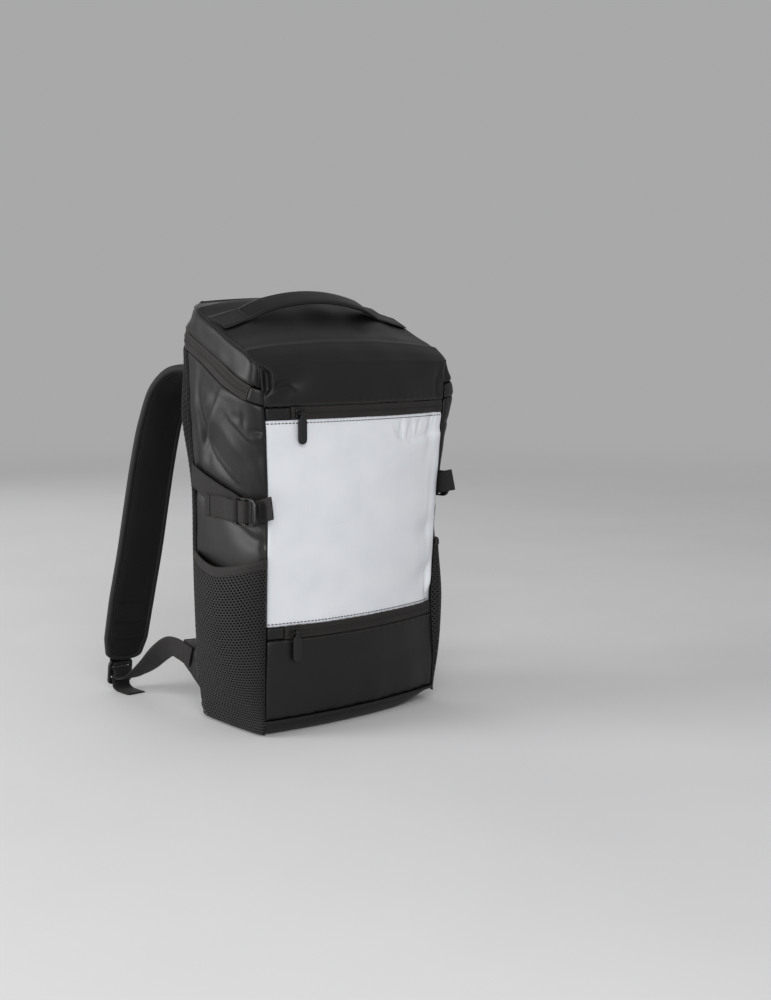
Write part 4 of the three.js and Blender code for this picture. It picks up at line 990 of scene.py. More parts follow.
def pocket_net(name, mirror, node):
    spots, cells, holes = net_flat()
    flat = np.concatenate((spots, holes))
    p = mix(POCKET_START, POCKET_END, flat[:, 0] / NET_WIDTH)
    z = mix(net_bottom(p, mirror), pocket_rim(p) - POCKET_BAND + 2, flat[:, 1] / NET_HEIGHT)
    ridge = np.concatenate((np.full(len(spots), NET_THICK), np.full(len(holes), 0.75 * NET_THICK)))
    more = RIGHT_SWELL * mirror
    outer, inner = pocket_point(p, z, ridge, more), pocket_point(p, z, 0.25 * NET_THICK, more)
    k = np.arange(6)
    after = (k + 1) % 6
    hole = len(spots) + np.arange(len(cells) * 6).reshape(-1, 6)
    faces = np.stack((cells[:, k], cells[:, after], hole[:, after], hole[:, k]), -1).reshape(-1, 4)
    faces = faces[faces[:, 0] != faces[:, 1]]
    count = len(flat)
    edges = np.concatenate([faces[:, [a, b]] for a, b in ((0, 1), (1, 2), (2, 3), (3, 0))])
    _, first, times = np.unique(np.sort(edges, 1), axis=0, return_index=True, return_counts=True)
    rim = edges[first[times == 1]]
    walls = np.stack((rim[:, 1], rim[:, 0], rim[:, 0] + count, rim[:, 1] + count), -1)
    points = np.concatenate((outer, inner)) * (FLIP if mirror else 1)
    return make(name, points, [faces, faces[:, ::-1] + count, walls], KNIT, "mesh", nodes=(node,))


for side, mirror in SIDES:
    net = pocket_net(f"mesh_pocket_net_{side}", mirror, f"mesh_pocket_{side}")
    p, share = panel_stops(POCKET_START + 0.01, POCKET_END - 0.001, 33, 41)
    z = mix(net_bottom(p, mirror) + 0.4, pocket_rim(p) - 4, share)
    grid = pocket_point(p, z, -0.8, RIGHT_SWELL * mirror)
    # A near-black sheet behind the net: painted shade seen through its holes.
    shell(f"pocket_shade_lining_{side}", grid, 0.2, SHADE_LINING, "coated", 0.0, LINING_ROLL, mirror=mirror, held="stretched")
    p, share = panel_stops(POCKET_START, POCKET_END, 89, 13)
    grid = pocket_point(p, pocket_rim(p) - POCKET_BAND + POCKET_BAND * share, 1.2, RIGHT_SWELL * mirror)
    bulge = 1.1 * np.sin(np.pi * share) ** 0.5 + 0.25 * ripple(runs(grid)[0], share * 10, 26, 9)
    band = shell(f"pocket_rim_{side}", grid, PATCH_THICK, WEBBING, "webbing", bulge, (1.0, 1.6), mirror=mirror,
                 nodes=(f"pocket_binding_{side}",), held="stretched")
    sew(*inset_line(band, "low", 2.4), pitch=3.2)
    # A near-black tape inside the rear seam: painted shade behind the gap between the side and back panels.
    p, share = panel_stops(SIDE_END - SEAM_TAPE_WIDTH, SIDE_END - 0.0004, 9, 61)
    grid = wall_left(p, mix(BASE_SEAM + 2, zip_height(ZIP_LOWER_EDGE, p) - 3, share), SEAM_TAPE_INSET)
    shell(f"seam_shade_tape_{side}", grid, 0.4, SHADE_LINING, "coated", 0.0, LINING_ROLL, mirror=mirror, held="stretched")


# Base tray and the piping in its front seam
BASE_PROFILE = columns("t inset z", [
    (0, 0.2, 17.2), (0.2, 0, 13), (0.45, 3, 7), (0.7, 8.5, 1.8), (0.85, 15, 0), (1, 30, 0),
])


def base_outline(inset):
    half, front, bulge = section(np.float64(BASE_SEAM), inset)[:3]
    s = np.linspace(-1, 1, 81)
    p = np.concatenate((np.linspace(0, SIDE_END, 41), np.linspace(SIDE_END, CORNER_END, 13)[1:],
                        np.linspace(CORNER_END, 1, 25)[1:]))
    x, y = plan_left(p[1:], np.full(len(p) - 1, BASE_SEAM), inset)
    front_line = np.stack((s * half, front - bulge * (1 - s * s)), -1)
    right = np.stack((-x, y), -1)
    left_line = np.stack((x, y), -1)[-2::-1]
    return np.concatenate((front_line, right, left_line))


def base_tray():
    rings = []
    for t in np.linspace(0, 1, 26):
        line = base_outline(np.float64(sample(BASE_PROFILE, "t", "inset", t)))
        level = max(0.0, float(sample(BASE_PROFILE, "t", "z", t)))
        rings.append(np.column_stack((line, np.full(len(line), level))))
    rings += [rings[-1] * (share, share, 1) for share in (0.66, 0.33, 0.1)]
    outer = np.array(rings)
    x, y, z = np.moveaxis(outer, -1, 0)
    corner = bell(x, BASE_CORNER[0], CORNER_SPREAD) * bell(y, BASE_CORNER[1], CORNER_SPREAD)
    outer[..., 2] = z + CORNER_LIFT * corner * np.maximum(BASE_SEAM - z, 0)
    lining = outer[::-1] * (0.985, 0.975, 1) + (0, 0, 1.6)
    grid = np.concatenate((outer[::-1], lining[::-1]))
    rows, sides = grid.shape[:2]
    at, after, quads = ring_quads(rows, sides)
    ends = [np.stack((np.full(sides, rows * sides + k), at[r], after[r]), -1)[:, ::flip]
            for k, r, flip in ((0, 0, -1), (1, rows - 1, 1))]
    points = np.concatenate((grid.reshape(-1, 3), grid[0].mean(0)[None], grid[-1].mean(0)[None]))
    uv = [points[group][..., :2] for group in (quads, *ends)]
    seam = np.exp(-np.abs(points[:, 2] - BASE_SEAM) / 3)
    tray = make("base_cloth", points, [quads, *ends], COATED, "coated", uv, {"seam": seam}, nodes=("base_panel",))


base_tray()

PIPING_STOPS, PIPING_WIDTH = 180, 3.6
line = front_point(np.linspace(-0.99, 0.99, PIPING_STOPS), np.full(PIPING_STOPS, BASE_SEAM)) + (0, -1.6, -0.2)
angles = np.arange(12) * np.pi / 6
ring = np.stack((np.cos(angles), np.sin(angles)), -1)
path = framed(line, np.tile((0.0, 0, 1), (PIPING_STOPS, 1)), np.full((PIPING_STOPS, 2), PIPING_WIDTH))
tube("base_piping_cord", tube_points(path, ring), COATED, "coated", np.arange(13) * 0.95, nodes=("base_piping",))


# Padded pieces: sewn lines are pinned and the cloth between them swells under pressure
PUFF_FRAMES = 18
CLOTH_SETTINGS = {
    "quality": 6, "mass": 0.2, "vertex_group_mass": "sewn", "tension_stiffness": 30, "compression_stiffness": 30,
    "bending_stiffness": 2, "use_pressure": True,
}


def swollen(points, faces, pinned, pressure, cap):
    """Displacement of each point after a short cloth simulation."""
    mesh = bpy.data.meshes.new("pad")
    mesh.from_pydata((points * MM).tolist(), [], np.concatenate([np.asarray(f) for f in faces]).tolist())
    mesh.update()
    pad = add_object("pad", mesh)
    scene = bpy.context.scene
    group = pad.vertex_groups.new(name="sewn")
    group.add(np.flatnonzero(pinned).tolist(), 1.0, "REPLACE")
    cloth = pad.modifiers.new("Cloth", "CLOTH")
    for key, value in CLOTH_SETTINGS.items():
        setattr(cloth.settings, key, value)
    cloth.settings.uniform_pressure_force = pressure
    cloth.settings.effector_weights.gravity = 0
    cloth.collision_settings.use_collision = False
    cloth.point_cache.frame_end = PUFF_FRAMES
    for number in range(1, PUFF_FRAMES + 1):
        scene.frame_set(number)
    shown = pad.evaluated_get(bpy.context.evaluated_depsgraph_get())
    moved = np.empty(len(points) * 3)
    shown.data.vertices.foreach_get("co", moved)
    moved = moved.reshape(-1, 3) / MM - points
    reach = np.linalg.norm(moved, axis=1, keepdims=True)
    bpy.data.objects.remove(pad)
    bpy.data.meshes.remove(mesh)
    scene.frame_set(1)
    return moved * np.minimum(1, cap / np.maximum(reach, 1e-6))


def spread(table, rows, cols, fine_rows, fine_cols):
    """A coarse table of displacements read at finer stops."""
    half = np.array([read_along(cols, line, fine_cols) for line in table])
    return np.stack([read_along(rows, half[:, i], fine_rows) for i in range(half.shape[1])], 1)


def dimples(rows, cols):
    """Staggered round holes of a spacer mesh, four stops apart; the spacer looks paint them near black as painted
    shade.
    """
    j, i = np.meshgrid(np.arange(rows), np.arange(cols), indexing="ij")
    off = [np.abs((i + k) % 4 - 2) + np.abs((j + k) % 4 - 2) for k in (0, 2)]
    return np.clip(1.0 - 0.45 * np.minimum(*off), 0, 1)


# Back panel: it is fuller near its upper corners
BULGE, BULGE_AT, BULGE_WIDE, BULGE_LEVEL, BULGE_TALL = 7.0, 0.645, 0.06, 352, 48
BACK_STOPS, BACK_ROWS, BACK_DEPTH = 232, 272, 9


def back_grid(count_q, count_t):
    stops = round_stops(SIDE_END, 250.0, count_q, samples=300)
    q, t = np.meshgrid(stops, np.linspace(0, 1, count_t + 1))
    p = 1 - np.abs(q)
    grid = wall_round(q, mix(BASE_SEAM + GAP, zip_height(ZIP_LOWER_EDGE, p) - GAP, t))
    full = BULGE * smoothstep(p, SIDE_END, BULGE_AT) * bell(p, BULGE_AT, BULGE_WIDE)
    full = full * bell(grid[..., 2], BULGE_LEVEL, BULGE_TALL)
    return grid + grid_normals(grid) * full[..., None]


coarse = back_grid(48, 60)
inner = coarse - grid_normals(coarse) * BACK_DEPTH
rows, cols = coarse.shape[:2]
border = perimeter(rows, cols)
after = np.roll(border, -1)
count = rows * cols
sides = np.stack((after, border, border + count, after + count), -1)
faces = [grid_quads(rows, cols), grid_quads(rows, cols, count)[:, ::-1], sides]
pinned = np.ones(2 * count, bool)
pinned[:count] = False
pinned[border] = True
puff = swollen(np.concatenate((coarse.reshape(-1, 3), inner.reshape(-1, 3))), faces, pinned, 4.0, 5.0)
puff = puff[:count].reshape(rows, cols, 3)
fine = back_grid(BACK_STOPS, BACK_ROWS)
fine = fine + spread(puff, *(np.linspace(0, 1, stops) for stops in (rows, cols, BACK_ROWS + 1, BACK_STOPS + 1)))
pit = dimples(BACK_ROWS + 1, BACK_STOPS + 1)
back = shell("back_pad", fine, 7.0, BACK_MESH_PAINTED_LIGHT, "padding", -1.5 * pit, (0.8, 1.6), pit, nodes=("back_panel",))
for edge in ("left", "right", "low", "high"):
    sew(*inset_line(back, edge, 4.0))


# Shoulder straps
STRAP = [
    (-73, 79.6, 399, 52, 8, 0), (-73, 95, 400, 52, 9, 0), (-75, 117, 404, 53, 10, 0),
    (-80, 147, 399, 53, 11, 0), (-85, 172, 378, 53, 11, 0), (-91, 187, 338, 53, 11, 0),
    (-99, 193, 290, 53, 11, 1), (-106, 198, 238, 53, 11, 2), (-112, 206, 178, 53, 11, 3),
    (-117, 218, 118, 53, 10, 4), (-120, 228, 68, 51, 9, 4), (-121, 232, 50, 42, 7, 4),
]
strap_rows = [(x, y, z, math.cos(math.radians(turn)), -math.sin(math.radians(turn)), 0, width, thick)
              for x, y, z, width, thick, turn in STRAP]
PRESSED_BARS, BAR_DEPTH = (66.0, 91.0, 116.0), np.array((0, 3.2, 0))
PAD_COUNTS, FINE_PAD_COUNTS = (13, 11), (61, 15)
PAD_END, PAD_END_ROWS, BINDING_START, BINDING_END, BINDING_SIZE = 6.0, 14, 0.014, 7.5, (8.4, 6.6)


def pad_shape(x):
    return 1 - 0.72 * np.abs(x) ** 5


def strap_ring(inner_count, outer_count):
    """Ring of the pad: the face towards the wearer, then the outer face."""
    a = np.linspace(-1, 1, inner_count)
    b = np.linspace(1, -1, outer_count)[1:-1]
    return np.concatenate((np.stack((a, -pad_shape(a)), -1), np.stack((b, pad_shape(b)), -1)))


def ring_stops(inner_count, outer_count):
    """Place of each point of the ring, from 0 to 1 on its first face and on to 2 on its second."""
    return np.append(np.linspace(0, 1, inner_count), 1 + np.linspace(0, 1, outer_count)[1:-1])


def puffed(grid, pinned, cap, counts, fine, fine_counts, pressed=0.0):
    """A fine tube with the swelling that a coarse one takes between its sewn lines."""
    rows, sides = grid.shape[:2]
    puff = swollen(grid.reshape(-1, 3), [ring_quads(rows, sides)[2]], pinned.ravel(), 5.0, cap)
    puff = puff.reshape(rows, sides, 3) + pressed
    closed = np.concatenate((puff, puff[:, :1]), 1)
    return fine + spread(closed, np.linspace(0, 1, rows), np.append(ring_stops(*counts), 2.0),
                         np.linspace(0, 1, len(fine)), ring_stops(*fine_counts))


def strap_pads():
    coarse_path = course(strap_rows, 4.4)
    ring = strap_ring(*PAD_COUNTS)
    grid = tube_points(coarse_path, ring)
    rows, sides = grid.shape[:2]
    outward = np.sign(coarse_path["out"][rows // 2, 1])
    bars = np.zeros((rows, sides), bool)
    for height in PRESSED_BARS:
        bars[np.argmin(np.abs(coarse_path["at"][:, 2] - height))] = np.abs(ring[:, 0]) < 0.62
    face = (ring[:, 1] * outward < 0) & (np.abs(ring[:, 0]) < 0.99)
    bars &= face
    pressed = bars[..., None] * BAR_DEPTH
    pinned = bars | (np.abs(ring[:, 0]) > 0.99)
    pinned[[0, -1]] = True
    path = course(strap_rows, 1.15)
    fine_ring = strap_ring(*FINE_PAD_COUNTS)
    fine = tube_points(path, fine_ring)
    grid = puffed(grid + pressed, pinned, 3.5, PAD_COUNTS, fine, FINE_PAD_COUNTS, pressed)
    count = FINE_PAD_COUNTS[0]
    pit = np.zeros(grid.shape[:2])
    pit[:, :count] = dimples(len(grid), count) * (np.abs(fine_ring[:count, 0]) < 0.86)
    grid = grid - path["out"][:, None] * (fine_ring[None, :, 1:] * 0.85 * pit[..., None])
    near_end = smoothstep(np.arange(len(grid)), len(grid) - PAD_END_ROWS, len(grid) - 1)
    round_end = PAD_END * np.sqrt(np.maximum(1 - fine_ring[:, 0] ** 2, 0))
    grid = grid + path["along"][:, None] * (near_end[:, None] * round_end)[..., None]
    run = run_along(grid[len(grid) // 2])
    run = np.append(run, run[-1] + 1.0)
    for side, mirror in SIDES:
        pad = tube(f"shoulder_pad_{side}", grid, SPACER, "padding", run, {"pit": pit.ravel()}, mirror,
                   nodes=(f"shoulder_strap_{side}",))
    return path


strap_path = strap_pads()


def strap_edges():
    keep = slice(int(BINDING_START * len(strap_path["at"])), None)
    at, across, out, along = (strap_path[k][keep] for k in ("at", "across", "out", "along"))
    half, thick = strap_path["width"][keep, None] / 2, strap_path["thick"][keep, None]
    offset = half + 1.2
    turn = np.linspace(0, np.pi, 40)[1:-1, None]
    end = at[-1] - across[-1] * offset[-1] * np.cos(turn) + along[-1] * BINDING_END * np.sin(turn)
    line = np.concatenate((at - across * offset, end, (at + across * offset)[::-1]))
    turned = np.concatenate((out, np.tile(out[-1], (len(turn), 1)), out[::-1]))
    path = framed(line, turned, np.tile(BINDING_SIZE, (len(line), 1)))
    angle = np.arange(14) * 2 * np.pi / 14
    ring = np.stack((np.sign(np.cos(angle)) * np.abs(np.cos(angle)) ** 0.7, np.sin(angle)), -1)
    grid = tube_points(path, ring)
    for side, mirror in SIDES:
        tube(f"strap_edge_binding_{side}", grid, BINDING, "binding", np.arange(15) * 1.7, mirror=mirror,
             nodes=(f"strap_binding_{side}",))
        for face in (-1, 1):
            for edge in (-1, 1):
                thread = at + across * edge * (half - 1.6) + out * face * thick * 0.42
                sew(*mirrored_line(thread[::3], (out * face)[::3], mirror))


strap_edges()


# Grab handle
HANDLE_HALF, HANDLE_END, HANDLE_Y, HANDLE_WIDTH, HANDLE_THICK, HANDLE_RISE = 135.0, 38.0, 12.0, 28.0, 5.5, 12.5
HANDLE_SEWN = 138.6
HANDLE_COUNTS, FINE_HANDLE_COUNTS, HANDLE_ROWS = (9, 9), (25, 25), 241


def handle_path(count):
    x = np.linspace(-HANDLE_SEWN, HANDLE_SEWN, count)
    flare = smoothstep(np.abs(x), HANDLE_HALF - HANDLE_END, HANDLE_SEWN)
    middle = HANDLE_Y - 4 * flare
    tilt = (top_height(x, middle + HANDLE_WIDTH / 2) - top_height(x, middle - HANDLE_WIDTH / 2)) / HANDLE_WIDTH
    across = unit(np.stack((x * 0, x * 0 + 1, tilt), -1))
    up = np.stack((x * 0, -across[:, 2], across[:, 1]), -1)
    arch = np.clip((HANDLE_HALF - HANDLE_END - np.abs(x)) / (HANDLE_HALF - HANDLE_END), 0, 1)
    lift = HANDLE_RISE * np.sin(np.pi / 2 * arch) ** 0.8
    size = (0.34 + 0.66 * np.minimum(arch * 4, 1)) * HANDLE_THICK
    foot = np.stack((x, middle, top_height(x, middle)), -1)
    at = foot + up * (GAP + 0.4 - 0.7 * flare + size / 2 + lift)[:, None]
    return framed(at, across, np.stack((HANDLE_WIDTH + 5 * flare, size), -1))


def handle():
    path = handle_path(61)
    ring = strap_ring(*HANDLE_COUNTS)
    grid = tube_points(path, ring)
    pinned = (np.abs(ring[:, 0]) > 0.99) | (np.abs(grid[:, :1, 0]) > HANDLE_HALF - HANDLE_END)
    fine = handle_path(HANDLE_ROWS)
    fine_ring = strap_ring(*FINE_HANDLE_COUNTS)
    shape = puffed(grid, pinned, 2.2, HANDLE_COUNTS, tube_points(fine, fine_ring), FINE_HANDLE_COUNTS)
    face = np.sign(fine["out"][0, 2])
    up = fine["out"] * face
    x = shape[..., 0]
    ribs = 0.5 * np.sin(x / 0.75) * bell(x, -78, 14) * (fine_ring[:, 1] * face < -0.5)
    shape = shape - up[:, None] * ribs[..., None]
    run = run_along(shape[HANDLE_ROWS // 2])
    seam = np.tile(np.abs(fine_ring[:, 0]) ** 6, (HANDLE_ROWS, 1))
    band = tube("grab_handle_band", shape, COATED, "coated", np.append(run, run[-1] + 1), {"seam": seam.ravel()},
                nodes=("grab_handle",))

    def top(row, a):
        height = fine["thick"][row, None] / 2 * pad_shape(a) + 0.2
        return fine["at"][row] + fine["across"][row] * a * HANDLE_WIDTH / 2 + up[row] * height

    every = np.arange(0, HANDLE_ROWS, 2)
    for a in (-0.78, 0.78):
        sew(top(every, a), up[every])
    for row in (2, 33, 35, 205, 207, 238):
        line = np.array([top(row, a) for a in np.linspace(-0.75, 0.75, 12)])
        sew(line, np.tile(up[row], (12, 1)), pitch=2.8)


handle()


# Compression straps
REAR_COURSE = [
    (-63.5, 0.6, 288), (-57, 2.4, 284), (-25, 2.2, 273), (0, 2.4, 265), (18, 3.4, 259.5), (29, 5, 255.5),
    (36, 5.9, 253.4), (37.8, 9, 252.6), (36, 13, 252.3), (29, 13.4, 252.4), (21.4, 12, 252.8), (14, 9.6, 253.2),
    (3, 8.7, 253.4), (-14, 8.3, 253.6),
]
END_FLAP = [(-15.6, 8.2, 253.6), (-20, 8.2, 253.6), (-26.2, 8, 253.6)]
FRONT_COURSE = [
    (65, 2.4, 252), (56, 2.6, 252), (46, 4.4, 252), (42.2, 6, 252), (41.2, 9, 252), (42, 12.6, 252),
    (46.6, 13, 252), (51.8, 12.4, 252), (53.6, 9, 252), (56, 5.9, 252.4), (64, 5.2, 253.5), (74, 5.6, 256),
    (87, 8, 259),
]
BUCKLE_REAR, BUCKLE_FRONT, BUCKLE_LEVEL, BUCKLE_HEIGHT, BUCKLE_THICK, BUCKLE_OFF = 24.0, 70.0, 252.0, 31.0, 4.0, 9.0
BUCKLE_MIDDLE = (BUCKLE_REAR + BUCKLE_FRONT) / 2


def webbing_reach(ahead, z):
    """How far out the wall stands under a webbing."""
    return max(side_reach(np.full(3, -ahead), z + WEB_WIDTH * np.array((-0.5, 0, 0.5))))


def side_course(rows, lift):
    """Stations of a compression webbing over the wall, lifted off it under the buckle, and the buckle's reach."""
    buckle = webbing_reach(BUCKLE_MIDDLE, BUCKLE_LEVEL + lift)
    made = []
    rows = np.array(rows, float)
    parts = np.maximum(1, np.abs(np.diff(rows[:, 0])) // 8).astype(int)
    stops = np.concatenate([i + np.arange(n) / n for i, n in enumerate(parts)] + [[len(parts)]])
    for ahead, out, z in read_along(np.arange(len(rows)), rows, stops):
        under = smoothstep(ahead, 14, BUCKLE_REAR + 2) * (1 - smoothstep(ahead, 56, 65))
        reach = mix(webbing_reach(min(ahead, 58), z + lift), buckle, under)
        made.append((-reach - out, -ahead, z + lift, 0, 0, 1, WEB_WIDTH, WEB_THICK))
    return made, buckle


def rounded(width, height, radius, x=0.0, y=0.0):
    """Outline of a rounded rectangle about a point."""
    corners = ((1, -1, -90), (1, 1, 0), (-1, 1, 90), (-1, -1, 180))
    line = []
    for sx, sy, start in corners:
        for turn in range(0, 91, 15):
            angle = math.radians(start + turn)
            line.append((x + sx * (width / 2 - radius) + radius * math.cos(angle),
                         y + sy * (height / 2 - radius) + radius * math.sin(angle)))
    return line


def plate(outlines, thick, bevel):
    """A flat moulded plate with rounded edges; the first outline is its edge, the others are slots."""
    curve = bpy.data.curves.new("plate", "CURVE")
    curve.dimensions = "2D"
    curve.fill_mode = "BOTH"
    curve.extrude = (thick / 2 - bevel) * MM
    curve.bevel_depth = bevel * MM
    curve.bevel_resolution = 2
    curve.offset = -bevel * MM
    for outline in outlines:
        spline = curve.splines.new("POLY")
        spline.points.add(len(outline) - 1)
        spline.use_cyclic_u = True
        for point, (x, y) in zip(spline.points, outline):
            point.co = (x * MM, y * MM, 0, 1)
    holder = add_object("plate", curve)
    bpy.context.view_layer.update()
    mesh = bpy.data.meshes.new_from_object(holder.evaluated_get(bpy.context.evaluated_depsgraph_get()))
    bpy.data.objects.remove(holder)
    bpy.data.curves.remove(curve)
    return mesh


def hardware(name, parts, look, slot, body="bag", nodes=(), mirror=False):
    """One moulded piece from plates, each with its own placing matrix in millimetres."""
    whole = bmesh.new()
    for mesh, matrix in parts:
        matrix = matrix.copy()
        matrix.translation = matrix.translation * MM
        part = bmesh.new()
        part.from_mesh(mesh)
        bmesh.ops.remove_doubles(part, verts=part.verts, dist=1e-6)
        bmesh.ops.transform(part, matrix=matrix, verts=part.verts)
        if mirror:
            bmesh.ops.scale(part, vec=(-1, 1, 1), verts=part.verts)
        bmesh.ops.recalc_face_normals(part, faces=part.faces)
        joint = bpy.data.meshes.new("joint")
        part.to_mesh(joint)
        part.free()
        whole.from_mesh(joint)
        bpy.data.meshes.remove(joint)
    mesh = bpy.data.meshes.new(name)
    whole.to_mesh(mesh)
    whole.free()
    mesh.shade_smooth()
    mesh.set_sharp_from_angle(angle=math.radians(42))
    return place(name, mesh, look, slot, body, nodes)


def axes(x, y, z, at):
    matrix = Matrix((x, y, z)).transposed().to_4x4()
    matrix.translation = Vector(at)
    return matrix


for side, mirror in SIDES:
    lift = RIGHT_LIFT * mirror
    rows, buckle_x = side_course(REAR_COURSE, lift)
    webbing(f"compression_webbing_{side}", rows, (f"compression_strap_{side}",), mirror)
    flap = webbing(f"compression_flap_{side}", side_course(END_FLAP, lift)[0], (), mirror, 0.8)
    rows = side_course(FRONT_COURSE, lift)[0]
    front = webbing(f"compression_tail_webbing_{side}", rows, (f"compression_tail_{side}",), mirror)
    for path, places in ((flap, (2, 6)), (front, (len(front["at"]) - 4, len(front["at"]) - 8))):
        for k in places:
            sew_across(path, k, path["out"][k] * (-1 if path["out"][k, 0] > 0 else 1), mirror)
    outline = rounded(BUCKLE_FRONT - BUCKLE_REAR, BUCKLE_HEIGHT, 9, BUCKLE_MIDDLE)
    slots = [rounded(7.6, WEB_WIDTH + 2.6, 1.2, 39.2), rounded(6.5, WEB_WIDTH + 2.0, 1.2, 54.25)]
    spot = axes((0, -1, 0), (0, 0, 1), (-1, 0, 0), (-buckle_x - BUCKLE_OFF, 0, BUCKLE_LEVEL + lift))
    grip = [(plate([rounded(1.5, WEB_WIDTH, 0.7, 62.5 + 2.7 * k)], 1.4, 0.4),
             Matrix.Translation((-BUCKLE_THICK / 2 - 0.1, 0, 0)) @ spot) for k in (-1, 0, 1)]
    hardware(f"compression_clasp_{side}", [(plate([outline, *slots], BUCKLE_THICK, 1.1), spot), *grip], PLASTIC,
             "plastic", nodes=(f"compression_buckle_{side}",), mirror=mirror)

# Strap adjusters, keepers, lower webbing and wing tabs
ADJUSTER_AT, ADJUSTER_LEAN, ADJUSTER_LENGTH, ADJUSTER_WIDTH, ADJUSTER_THICK = (-121, 240, 38), 8.0, 30.0, 34.0, 4.4
KEEPER_COURSE = [(-50, 2.4), (-28, 4.4), (-10, 5.2), (0, 4.8), (5.6, 3.8), (7.2, 0), (5.2, -3.7), (1.6, -3.9)]
ADJUSTER_COURSE = [
    (20, -7.4), (14, -5.4), (10.8, -3.6), (9.8, 0), (10.4, 3.8), (13.6, 4.2), (17.4, 3.7), (18.8, 0),
    (20.8, -3.1), (27, -3.6),
]
LOWER_COURSE = [
    (-122.2, 88, 65, 0), (-122.2, 101, 69, 0), (-122.2, 114, 72, 0), (-122, 131, 72, -12), (-121.6, 152, 61, -32),
    (-121, 178, 42, -60), (-121, 206, 25, -84), (-121, 223, 17.5, -90),
]
TAIL_COURSE = [(-121, 239, 5.2, -90), (-121, 232, 2, -90), (-121, 220, 1.1, -90), (-121, 206, 1.1, -90)]
WING_X, WING_BOTTOM, WING_TOP, WING_TIP_BOTTOM, WING_TIP_TOP, WING_TIP = -120.6, 30.0, 90.0, 55.0, 84.0, 106.0
WING_BARS, WING_BAR_X = (91.0, 102.0), -123.1
lean = math.radians(ADJUSTER_LEAN)
plate_down = np.array((0, math.sin(lean), -math.cos(lean)))
plate_back = np.array((0, math.cos(lean), math.sin(lean)))


def plate_course(rows):
    return [(*(np.array(ADJUSTER_AT) + plate_down * down + plate_back * back), -1, 0, 0, WEB_WIDTH, WEB_THICK)
            for down, back in rows]


def open_course(rows):
    return [(x, y, z, math.sin(math.radians(turn)), 0, math.cos(math.radians(turn)), WEB_WIDTH, WEB_THICK)
            for x, y, z, turn in rows]


for side, mirror in SIDES:
    outline = rounded(ADJUSTER_WIDTH, ADJUSTER_LENGTH, 5, 0, ADJUSTER_LENGTH / 2)
    slots = [rounded(WEB_WIDTH + 1.2, 5.9, 1.2, 0, 8.45), rounded(WEB_WIDTH + 1.8, 5.8, 1.2, 0, 19.1)]
    spot = axes((1, 0, 0), plate_down, plate_back, ADJUSTER_AT)
    hardware(f"ladder_lock_{side}", [(plate([outline, *slots], ADJUSTER_THICK, 1.2), spot)], PLASTIC, "plastic",
             nodes=(f"strap_adjuster_{side}",), mirror=mirror)
    webbing(f"keeper_webbing_{side}", plate_course(KEEPER_COURSE), (f"strap_keeper_{side}",), mirror)
    rows = open_course(LOWER_COURSE) + plate_course(ADJUSTER_COURSE) + open_course(TAIL_COURSE)
    lower = webbing(f"lower_webbing_{side}", rows, (f"strap_webbing_{side}",), mirror)
    for k in (len(lower["at"]) - 3, len(lower["at"]) - 6):
        sew_across(lower, k, (0.0, 0, 1), mirror)
    s, t = panel_stops(0, 1, 25, 33)
    foot = mix(WING_BOTTOM, WING_TOP, t)
    z = mix(foot, mix(WING_TIP_BOTTOM, WING_TIP_TOP, t), s)
    rear = np.linspace(SIDE_END, 1, 200)
    root = np.array([np.interp(WING_X, *plan_left(rear, np.full(200, one))) for one in foot[:, 0]])[:, None]
    grid = np.stack((np.full_like(s, WING_X), mix(root, WING_TIP, s), z), -1)
    wing = shell(f"strap_wing_cloth_{side}", grid, 1.4, COATED, "coated", 0.4 * ripple(grid[..., 1], z, 20, 12),
                 (0.8, 1.5), mirror=mirror, nodes=(f"strap_wing_{side}",), held="stretched")
    for edge in ("low", "high"):
        sew(*inset_line(wing, edge, 2.6))
    for y in WING_BARS:
        z = np.linspace(-11, 11, 10) + 65.5 + (y - 88) * 0.3
        sew_bar(np.stack((np.full(10, WING_BAR_X), np.full(10, y), z), -1), (-1.0, 0, 0), mirror)


# Zip sliders and pulls
SLIDER_WIDTH, SLIDER_HEIGHT, SLIDER_PLATE, SLIDER_LIFT, SLIDER_REACH, SLIDER_CAP = 12.0, 11.0, 2.2, 0.3, 5.6, 1.4
PULL_WIDTH, PULL_LENGTH, PULL_THICK, PULL_NECK, EYE, HOLE, EYE_WIDTH = 11.0, 29.5, 2.4, 4.0, 2.4, 1.4, 5.4
FACING = axes((1, 0, 0), (0, 0, 1), (0, -1, 0), (0, 0, 0))
ENDWAYS = axes((0, 1, 0), (0, 0, 1), (1, 0, 0), (0, 0, 0))


def circle(radius):
    angles = [2 * math.pi * k / 20 for k in range(20)]
    return [(radius * math.cos(angle), radius * math.sin(angle)) for angle in angles]


def moved(x, y, z):
    return Matrix.Translation((x, y, z))


def slider_parts(place_at):
    depth = SLIDER_REACH + SLIDER_CAP - SLIDER_LIFT - SLIDER_PLATE / 2
    body_y = -SLIDER_LIFT - SLIDER_PLATE / 2
    post_y = -(SLIDER_REACH + SLIDER_CAP) + depth / 2
    side_x = SLIDER_WIDTH / 2 - 0.85 - 0.8
    parts = [(plate([rounded(SLIDER_WIDTH, SLIDER_HEIGHT, 2.6)], SLIDER_PLATE, 0.7), moved(0, body_y, 0) @ FACING)]
    for x in (-side_x, side_x):
        parts.append((plate([rounded(depth, 3.4, 1.4)], 1.7, 0.5), moved(x, post_y, 0) @ ENDWAYS))
    parts.append((plate([circle(1.05)], 2 * side_x, 0.2), moved(0, -SLIDER_REACH, 0) @ ENDWAYS))
    return [(mesh, place_at @ matrix) for mesh, matrix in parts]


